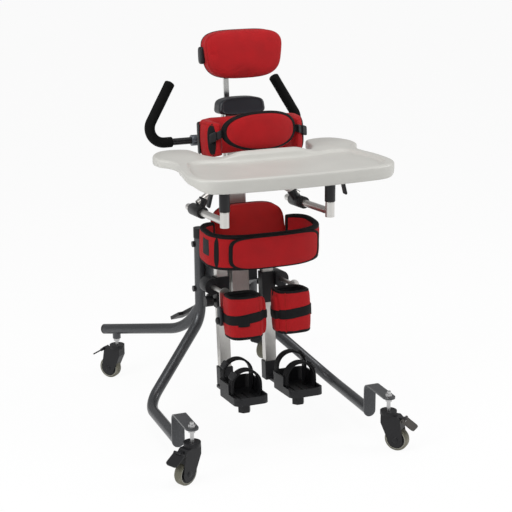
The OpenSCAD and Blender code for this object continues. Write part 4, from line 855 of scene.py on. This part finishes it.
for tag, sign, u_slot in (("left", -1, 0.040), ("right", 1, 0.945)):
    # the outside of the band is at v = 0 or half a turn, whichever lies further from the middle
    out = max((0.0, np.pi), key=lambda v: abs(chest_cover(np.array(u_slot), np.array(v))[0]))
    # the slot is a dark strip of painted shade
    slot_shade("chest_slot_" + tag, "chest_support", chest_cover, u_slot, 0.020, out - 1.15, out + 1.15)
    start = chest_cover(np.array(u_slot), np.array(out)) + UP * 0.006
    tip = leant(sign * 0.116, -0.224, 0.950)
    mid = (start + tip) / 2 + [sign * 0.006, -0.008, 0]
    points = [start + [-sign * 0.004, 0.008, 0], start + [sign * 0.003, -0.003, 0], mid, tip]
    path = smooth_line(points, 200)
    flat_strap("chest_strap_" + tag, "chest_support", path, 0.0115, 0.0012, UP, 40, 20)
    ahead = unit(tip - start)
    axes = np.stack([ahead, UP, np.cross(ahead, UP)])
    for name, spot, half in (
            ("buckle_", (start + mid) / 2 + [sign * 0.003, -0.003, 0], (0.0115, 0.0145, 0.0052)),
            ("buckle_tongue_", (mid + tip) / 2 + [sign * 0.002, -0.002, 0], (0.0065, 0.0125, 0.0036))):
        rounded_box("chest_" + name + tag, "chest_support", black_plastic, spot, half, 6.0, axes)

# %% Shell behind the chest wings
SHELL = {"half_t": 0.0022, "half_h": 0.047, "off": 0.0028, "points": 40}
for tag, sign in SIDES:
    u = np.linspace(0.5 + sign * 0.20, 0.5 + sign * 0.355, SHELL["points"])
    v0 = max((0.0, np.pi), key=lambda v: abs(chest_cover(np.array(0.5 + sign * 0.33), np.array(v))[0]))
    v = np.full(len(u), v0)
    base, out = chest_cover(u, v), normals(chest_cover, u, v) * chest_cover.side
    # a flat section that stands just off the cloth
    section = oval(SHELL["half_t"], SHELL["half_h"], 9.0, SHELL["points"])
    grid = base[:, None] + out[:, None] * (section[None, :, :1] + SHELL["off"]) + UP * section[None, :, 1:]
    dress(grid_object("chest_shell_" + tag, grid), "chest_support", black_plastic)
rounded_box("head_mount", "headrest", black_plastic, leant(-0.127, -0.088, 1.176),
            (0.0075, 0.015, 0.026), 4.0)
print("chest support made")

# %% [markdown]
# ## Hip support
# A belt of padded cloth runs from the back pad round the front. Its edges are bound in black tape.
# Over the front lies a second panel with a rounded left end and a heavier binding, held by hook
# tape. The left wing has a plain dark patch and a slot, as the real one has for its label and strap.

# %% Hip belt
HIP = {"z": 0.594, "a": 0.175, "b": -0.096, "y": -0.190, "end": 145.9, "half_t": 0.011, "half_h": 0.0535,
       "tip": math.radians(8)}
hip_path = oval_path(HIP["a"], HIP["b"], HIP["y"], 3.0, HIP["end"])
hip_cover = band_cover(hip_path, HIP["half_t"], HIP["half_h"], 4.0, HIP["z"], HIP["tip"])
hip_belt = soft_band("hip_belt_cover", hip_cover, 220, 0.07, 0.0010, 11)
dress(hip_belt, "hip_support", red_fabric, ("hip_belt",))
hip_run = np.linspace(0.004, 0.996, 220)
edge_pair("hip_edge_", "", "hip_support", binding, hip_cover, 90, 46, 46, hip_run, BOUND)
for tag, low, high in (("left", 0.0015, 0.014), ("right", 0.986, 0.9985)):
    bind("hip_end_" + tag, "hip_support", binding, hip_cover, low, high, TURN, 0.0014, closed=True)

# %% Front panel of the hip belt
HIP_OUT = max((0.0, np.pi), key=lambda v: -hip_cover(np.array(0.5), np.array(v))[1])
HIP_UP = TILTED[2] * math.cos(HIP["tip"]) - TILTED[1] * math.sin(HIP["tip"])
HIP_PANEL = {"left": 0.309, "right": 0.735, "half_h": 0.0510}


def hip_panel_cover(t, s):
    """A thin cushion on the belt: its outline runs along and up the belt, its profile sets the lift."""
    scale, lift = hip_panel_profile(t)
    along_u, up = hip_panel_at(s)
    u = (HIP_PANEL["left"] + HIP_PANEL["right"]) / 2 + along_u * scale
    base = hip_cover(u, np.full(np.shape(u), HIP_OUT))
    out = normals(hip_cover, u, np.full(np.shape(u), HIP_OUT)) * hip_cover.side
    return base + out * lift[..., None] + HIP_UP * (up * scale)[..., None]


panel_half = (HIP_PANEL["right"] - HIP_PANEL["left"]) / 2
hip_panel_at = closed_reader(oval(panel_half, HIP_PANEL["half_h"], 5.0, 300))
hip_panel_profile = pad_profile([
    (0.03, 0.3), (0.5, 0.3), (0.965, 0.3), (0.997, 1.2), (1.0, 2.6), (0.994, 4.4), (0.975, 5.4),
    (0.955, 5.6), (0.90, 5.8), (0.84, 6.3), (0.70, 7.4), (0.45, 8.0), (0.20, 8.2), (0.03, 8.2)])
facing(hip_panel_cover, 1.0)
t, s = np.broadcast_arrays(np.linspace(0, 1, 44)[:, None], laps(200)[None])
dress(grid_object("hip_front_panel", hip_panel_cover(t, s)), "hip_support", red_fabric)
bind("hip_panel_binding", "hip_support", binding, hip_panel_cover, 0.19, 0.575, laps(260), 0.0013,
     closed=True)

# %% Patch and slot on the left wing
# the slot is a dark strip of painted shade; the patch is real dark cloth
slot_shade("hip_slot", "hip_support", hip_cover, 0.258, 0.010, HIP_OUT - 1.0, HIP_OUT + 1.0)
bind("hip_patch", "hip_support", patch_cloth, hip_cover, 0.168, 0.222,
     np.linspace(HIP_OUT - 0.40, HIP_OUT + 0.09, 24), 0.0012)

# %% Back pad
BACK = {"y": -0.094, "z": 0.638, "half_w": 0.119, "half_h": 0.073}
back_outline = oval(BACK["half_w"], BACK["half_h"], 3.6, OUTLINE_POINTS)
back_outline[:, 0] *= 1 - 0.05 * back_outline[:, 1] / BACK["half_h"]
back_cover = cushion_cover(back_outline, [
    (0.04, 24.6), (0.45, 24.8), (0.80, 24.6), (0.945, 23.0), (0.995, 17.0), (1.0, 8.0), (0.988, -2.0),
    (0.998, -9.0), (0.985, -13.5), (0.95, -16.5), (0.86, -20.6), (0.66, -23.6), (0.34, -24.8),
    (0.04, -25.0)], BACK["y"], BACK["z"])
held_rows = (PAD_ROWS < 0.42) | (np.abs(PAD_ROWS - 0.60) < 0.03)
back_pad = cushion("hip_back_cushion", back_cover, held_rows, 2.5, 0.003)
dress(back_pad, "hip_support", inner_fabric, ("hip_back_pad",))
bind("hip_back_seam", "hip_support", red_fabric, back_cover, 0.60, 0.625, loop, SEAM, closed=True)
bind("hip_back_piping", "hip_support", binding, back_cover, 0.28, 0.33, loop, BOUND, closed=True)
print("hip support made")

# %% [markdown]
# ## Knee cuffs
# Each cuff is a soft sleeve: red outside, black lining inside, both rims bound in tape. A seam
# runs down near the inner side, where the front flap is sewn on, and a black strap goes round
# the middle, over a small pad on the inner side, and ends in a tab. A hinge holds the outer side.

# %% Cuffs, seams and straps
KNEE = {"x": 0.079, "y": -0.232, "z": 0.390, "a": 0.047, "b": 0.046, "half_t": 0.009, "half_h": 0.065,
        "power": 3.6, "rows": 120}
KNOB = [(0.0006, 0.0070), (0.0080, 0.0066), (0.0105, 0.0050), (0.0110, 0.0020), (0.0110, -0.0040),
        (0.0006, -0.0040)]


def height_angle(z):
    """Section angle on the outside of a cuff at a height above its middle."""
    share = np.asarray(z) / KNEE["half_h"]
    return np.arcsin(np.sign(share) * np.abs(share) ** (KNEE["power"] / 2))


for tag, sign in SIDES:
    body = "knee_support_" + tag
    plan = oval(KNEE["a"], KNEE["b"], 3.4, 240) + [sign * KNEE["x"], KNEE["y"]]
    cuff_cover = band_cover(plan, KNEE["half_t"], KNEE["half_h"], KNEE["power"], KNEE["z"], closed=True)
    cuff = soft_band("knee_cuff_cover_" + tag, cuff_cover, KNEE["rows"], 0.05, 0.0009, 21 + sign,
                     crown=0.0012, closed=True)
    for finish in (red_fabric, lining):
        cuff.data.materials.append(finish)
    middle = (TURN + np.pi / len(TURN))[None]
    inside = np.broadcast_to(np.cos(middle) < 0, (KNEE["rows"], len(TURN)))
    cuff.data.polygons.foreach_set("material_index", inside.astype(np.int32).ravel())
    dress(cuff, body, red_fabric, ("knee_cuff_" + tag,))
    rim = laps(140)
    edge_pair("knee_rim_", "_" + tag, body, binding, cuff_cover, 90, 28, 40, rim, BOUND, closed=True)
    tilt = 0.005 * np.cos(2 * np.pi * rim)
    low, high = (height_angle(z + tilt) for z in (-0.016, 0.016))
    bind("knee_strap_" + tag, body, webbing, cuff_cover, low, high, rim, 0.0030, closed=True, over_v=False)
    # the flap's seam, and the bound edge that faces the other knee
    seam = 0.75 - sign * 0.105
    tall = np.linspace(-1.25, 1.25, 30)
    bind("knee_seam_" + tag, body, inner_fabric, cuff_cover, seam - 0.006, seam + 0.006, tall, 0.0013)
    edge = (0.5 if sign > 0 else 0.0) - 0.03 * sign
    bind("knee_edge_" + tag, body, binding, cuff_cover, edge - 0.016, edge + 0.016, tall, BOUND)
    # a side pad with the strap passing over it, and on the outer side a hinge plate with its knob
    rounded_box("knee_side_pad_" + tag, body, red_fabric, leant(sign * 0.0265, -0.247, 0.388),
                (0.0135, 0.021, 0.058), 3.4)
    spot = leant(sign * 0.0265, -0.247, KNEE["z"] - sign * 0.004)
    rounded_box("knee_strap_pass_" + tag, body, webbing, spot, (0.0150, 0.0226, 0.0158), 5.0)
    rounded_box("knee_hinge_" + tag, body, cap_plastic, leant(sign * 0.1430, -0.202, 0.388),
                (0.0060, 0.0150, 0.0300), 4.0)
    knob = lathe(KNOB, leant(sign * 0.1500, -0.202, 0.374), (sign, 0, 0), 28)
    dress(grid_object("knee_hinge_knob_" + tag, knob), body, black_plastic)
    end, shift = (0.70, -0.006) if sign < 0 else (0.965, 0.0)
    bind("knee_strap_tab_" + tag, body, webbing, cuff_cover, end - 0.05, end + 0.05,
         height_angle(np.linspace(-0.0170, 0.0160, 16) + shift), 0.0052, sunk=-0.0025)
print("knee cuffs made")

# %% [markdown]
# ## Tray
# One moulding in pale plastic. Its outline bulges into two ears and bends in round the body. The
# rim is rounded, a flat border runs round a sunk panel, a lip rises along the cut-out, and the lower
# edge rises along the sides, where hands take hold. It is built as rings: each ring is the outline
# moved in by a little and set at a height, from the underside round the rim and into the panel.

# %% Tray moulding
tray_low, tray_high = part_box("tray_top")
TRAY = {"front": tray_low[1], "back": tray_high[1], "z": tray_low[2], "rim": 0.040, "wall": 0.004,
        "sunk": 0.009, "ear": 325.0, "cut": 182.0, "deep": 180.0, "lip": 0.018, "edge": 0.0075, "points": 560}
f, b, ear, cut, deep = TRAY["front"] * 1000, TRAY["back"] * 1000, TRAY["ear"], TRAY["cut"], TRAY["deep"]
half_outline = np.array([
    [0, f], [130, f + 4], [ear - 82, f + 15], [ear - 32, f + 43], [ear - 11, f + 94],
    [ear - 16, f + 180], [ear - 34, f + 262], [ear - 26, f + 312], [ear - 3, b - 122],
    [ear - 2, b - 70], [ear - 30, b - 18], [ear - 74, b], [cut + 16, b - 16], [cut, b - 60],
    [cut - 8, b - 112], [cut - 40, b - deep + 18], [cut - 90, b - deep], [0, b - deep + 2]])
half_panel = np.array([
    [0, f + 27], [127, f + 30], [ear - 90, f + 39], [ear - 54, f + 62], [ear - 36, f + 106],
    [ear - 44, f + 182], [ear - 60, f + 244], [ear - 68, f + 266], [ear - 82, f + 280],
    [ear - 96, f + 286], [ear - 108, f + 287], [ear - 118, f + 286], [ear - 126, f + 285],
    [ear - 134, f + 283], [ear - 144, f + 280], [cut - 26, f + 274], [cut - 84, f + 268], [0, f + 267]])


def both_halves(half):
    """A half outline in mm and its mirror image, as one loop in metres."""
    return np.vstack([half, (half * [-1, 1])[-2:0:-1]]) * MM


def inward(curve, distance):
    """The curve moved along its own normals towards its inside."""
    ahead = unit(np.roll(curve, -1, 0) - np.roll(curve, 1, 0))
    return curve + distance * np.stack([-ahead[:, 1], ahead[:, 0]], -1)


outline, panel = (smooth_line(both_halves(half), TRAY["points"], closed=True)
                  for half in (half_outline, half_panel))
top = TRAY["z"] + TRAY["rim"]
rise = np.clip((outline[:, 1] - TRAY["front"] - 0.02) / 0.06, 0, 1)
hold = np.exp(-((outline[:, 1] - TRAY["front"] - 0.165) / 0.055) ** 2) * (np.abs(outline[:, 0]) > 0.2)
foot = TRAY["z"] + 0.016 * rise ** 2 * (3 - 2 * rise) + 0.007 * hold
floor_z, wall, edge = top - TRAY["sunk"], TRAY["wall"], TRAY["edge"]
ceiling = floor_z - wall
corner = np.radians(np.linspace(0, 90, 7))
middle = np.array([0, TRAY["front"] + 0.150])
inner = inward(panel, 0.016)


def lip_at(curve, back, reach):
    """Height of the lip where the curve lies behind y = back: level, with a half cosine to each ear."""
    share = np.clip((1 - np.abs(curve[:, 0]) / reach) / 0.50, 0, 1)
    return TRAY["lip"] * (curve[:, 1] > back) * (0.5 - 0.5 * np.cos(np.pi * share))


lip = lip_at(outline, TRAY["back"] - 0.2, 0.156)
panel_lip = lip_at(panel, TRAY["front"] + 0.2, 0.170)
# underside, from its middle outwards, since a fan to one point would cross the cut-out
rings = [(middle + (inner - middle) * share, ceiling) for share in (0.12, 0.42, 0.72, 1.0)]
rings += [(inward(outline, d), z) for d, z in (
    (wall + 0.010, ceiling), (wall + 0.003, ceiling), (wall, ceiling - 0.003), (wall, foot + 0.0012),
    (wall - 0.001, foot + 0.0002), (0.0012, foot), (0.0003, foot + 0.0010), (0.0, foot + 0.003),
    (0.0, (foot + top) / 2))]
# rounded rim, border, step down and sunk panel
rings += [(inward(outline, edge * (1 - math.cos(a))), top + lip - edge + edge * math.sin(a)) for a in corner]
rings += [(inward(outline, d), top + lip * h) for d, h in ((0.010, 0.98), (0.014, 0.90))]
rings += [(inward(panel, -0.004 + 0.004 * math.sin(a)),
           top - 0.003 * (1 - math.cos(a)) + panel_lip * (0.62 - 0.22 * math.sin(a))) for a in corner[::2]]
rings += [(inward(panel, d), floor_z + h + panel_lip * k) for d, h, k in (
    (0.002, 0.0035, 0.25), (0.0042, 0.0010, 0.15), (0.007, 0.0, 0.06), (0.016, 0.0, 0.0))]
rings += [(middle + (inner - middle) * share, floor_z) for share in (0.72, 0.42, 0.12)]
grid = np.stack([np.column_stack([plan, np.broadcast_to(z, len(plan))]) for plan, z in rings])
tray = dress(grid_object("tray_moulding", grid), "tray", tray_plastic, ("tray_top",))
print("tray moulding:", len(tray.data.polygons), "faces")

# %% [markdown]
# ## Push grips and top cap
# A foam sleeve is a tube along the bent handle, with a rounded end. The cap on the column is a
# moulded nose, wider below than above, with a softened rim round its front, and a neck behind it.

# %% Foam grips
def bent_path(points, bend, count):
    """Straight runs joined by one arc of the bend radius at the middle point."""
    a, b, c = (np.asarray(p, float) for p in points)
    u, w = unit(b - a), unit(c - b)
    angle = math.acos(float(u @ w))
    n = unit(w - u * (u @ w))
    start = b - u * bend * math.tan(angle / 2)
    t = np.linspace(0, angle, 40)[:, None]
    arc = start + n * bend + bend * (np.sin(t) * u - np.cos(t) * n)
    return evenly(np.vstack([a, arc, c]), count)


GRIP = {"y": 0.086, "z": 0.900, "r": 0.0165, "bend": 0.046, "rows": 150, "end": 0.008, "start": 0.003}


def rounded_to(distance, radius, least):
    """Share of the full radius near an end: a quarter circle over the last radius, never below least."""
    return np.sqrt(np.clip(1 - np.clip((radius - distance) / radius, 0, 1) ** 2, least, 1))


for tag, sign in SIDES:
    start, knee, tip = (np.array([sign * x, GRIP["y"], z]) for x, z in
                        ((0.177, GRIP["z"]), (0.284, GRIP["z"]), (0.176, 1.086)))
    path = bent_path([start, knee, tip + unit(tip - knee) * 0.005], GRIP["bend"], GRIP["rows"])
    s = np.linspace(0, np.linalg.norm(np.diff(path, axis=0), axis=1).sum(), GRIP["rows"])
    full = np.minimum(rounded_to(s[-1] - s, GRIP["end"], 0.02), rounded_to(s, GRIP["start"], 0.30))
    section = ring(GRIP["r"], 36)[None] * (full * (1 + 0.008 * np.sin(s / 0.013)))[:, None, None]
    grip = grid_object("foam_grip_" + tag, lean(sweep(path, section, (0, 1, 0))))
    dress(grip, "handles", foam, ("handle_grips",) if sign < 0 else ())

# %% Column cap
CAP = {"back": -0.033, "z": 1.016, "half_w": 0.0785, "half_h": 0.0245}
cap_outline = oval(CAP["half_w"], CAP["half_h"], 4.2, 200)
cap_outline[:, 0] *= 0.955 - 0.045 * cap_outline[:, 1] / CAP["half_h"]
cap_at = closed_reader(cap_outline)
cap_profile = pad_profile([
    (0.04, 0), (0.5, 0), (0.90, 0), (0.985, -3), (1.0, -9), (1.0, -30), (1.0, -46), (0.985, -51.5),
    (0.945, -55.6), (0.90, -57.6), (0.865, -57.6), (0.82, -56.2), (0.5, -55.4), (0.04, -55.2)])
size, depth = cap_profile(np.linspace(0, 1, 60)[:, None])
x, z = cap_at(laps(140)[None])
crest = 0.005 * (1 - (x * size / CAP["half_w"]) ** 2) * (z > 0)
nose = xyz(x * size, CAP["back"] + depth, CAP["z"] + (z + crest - 0.003) * size)
cap = grid_object("column_cap_nose", lean(nose))
dress(cap, "column", cap_plastic, ("top_cap",))
rounded_box("column_cap_neck", "column", cap_plastic, leant(0, 0.0045, 1.0075), (0.031, 0.0385, 0.0185), 9.0)
print("grips and cap made")

# %% [markdown]
# ## Sandal straps
# Broad webbing lies over the two stiff hoops of each sandal: up one side, half round and down the
# other. A small moulded buckle sits on the outer shoulder, and a zinc screw holds the sole.

# %% Straps, buckles and screws
SANDAL = {"x": 0.0905, "top": 0.1403, "r": 0.0475, "shoulder": 52}
SCREW = [(0.0004, 0.0016), (0.0030, 0.0014), (0.0044, 0.0006), (0.0046, -0.0006), (0.0004, -0.0006)]
for tag, sign in SIDES:
    body = "sandal_" + tag
    for name, y, rise, half_w in (("front", -0.258, 0.038, 0.0175), ("ankle", -0.186, 0.056, 0.0155)):
        t = np.linspace(0, np.pi, 60)
        x = np.concatenate([[1, 1], np.cos(t), [-1, -1]]) * SANDAL["r"]
        foot_z, shin_z = 0.014 - rise, 0.005 - rise / 2
        z = np.concatenate([[foot_z, shin_z], SANDAL["r"] * np.sin(t), [shin_z, foot_z]])
        path = lean(xyz(sign * SANDAL["x"] + x, y, SANDAL["top"] + rise + z))
        flat_strap("sandal_strap_%s_%s" % (name, tag), body, path, half_w, 0.0022, TILTED[1], 90, 24)
        a = math.radians(90 - sign * SANDAL["shoulder"])
        out, across = np.array([[math.cos(a), 0, math.sin(a)], [-math.sin(a), 0, math.cos(a)]])
        spot = np.array([sign * SANDAL["x"], y, SANDAL["top"] + rise]) + out * (SANDAL["r"] + 0.004)
        axes = np.stack([across, [0, 1, 0], out]) @ TILTED
        rounded_box("sandal_buckle_%s_%s" % (name, tag), body, black_plastic, lean(spot),
                    (0.013, half_w + 0.001, 0.0042), 5.0, axes)
    screw = lathe(SCREW, leant(sign * SANDAL["x"] + 0.035, -0.298, SANDAL["top"]), UP, 24)
    dress(grid_object("sandal_screw_" + tag, screw), body, zinc_steel)
print("sandals dressed")

# %% [markdown]
# ## Wheels
# Each tyre carries a thin pale line round both flanks, and a round cover hides each axle end.
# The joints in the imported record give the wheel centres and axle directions.

# %% Tyre lines and axle covers
LINE = [(0.0292, 0.0122), (0.0294, 0.01335), (0.0300, 0.01350), (0.0306, 0.01335), (0.0308, 0.0122)]
DOME = [(0.0008, 0.0210), (0.004, 0.0209), (0.007, 0.0203), (0.0092, 0.0193), (0.0100, 0.0180),
        (0.0098, 0.0172), (0.0008, 0.0172)]
for joint in frame["joints"]:
    if not joint["name"].startswith("spin_"):
        continue
    tag = joint["name"][5:]
    centre, axle = np.array(joint["pos_m"]), np.array(joint["axis"])
    for end, sign in (("a", 1), ("b", -1)):
        line, dome = (lathe(LINE, centre, axle * sign, 72), lathe(DOME, centre, axle * sign, 36))
        dress(grid_object("tyre_line_%s_%s" % (tag, end), line, wrap_rows=True), "wheel_" + tag, tyre_line)
        dress(grid_object("axle_cover_%s_%s" % (tag, end), dome), "caster_" + tag, black_plastic)
print("wheels dressed")
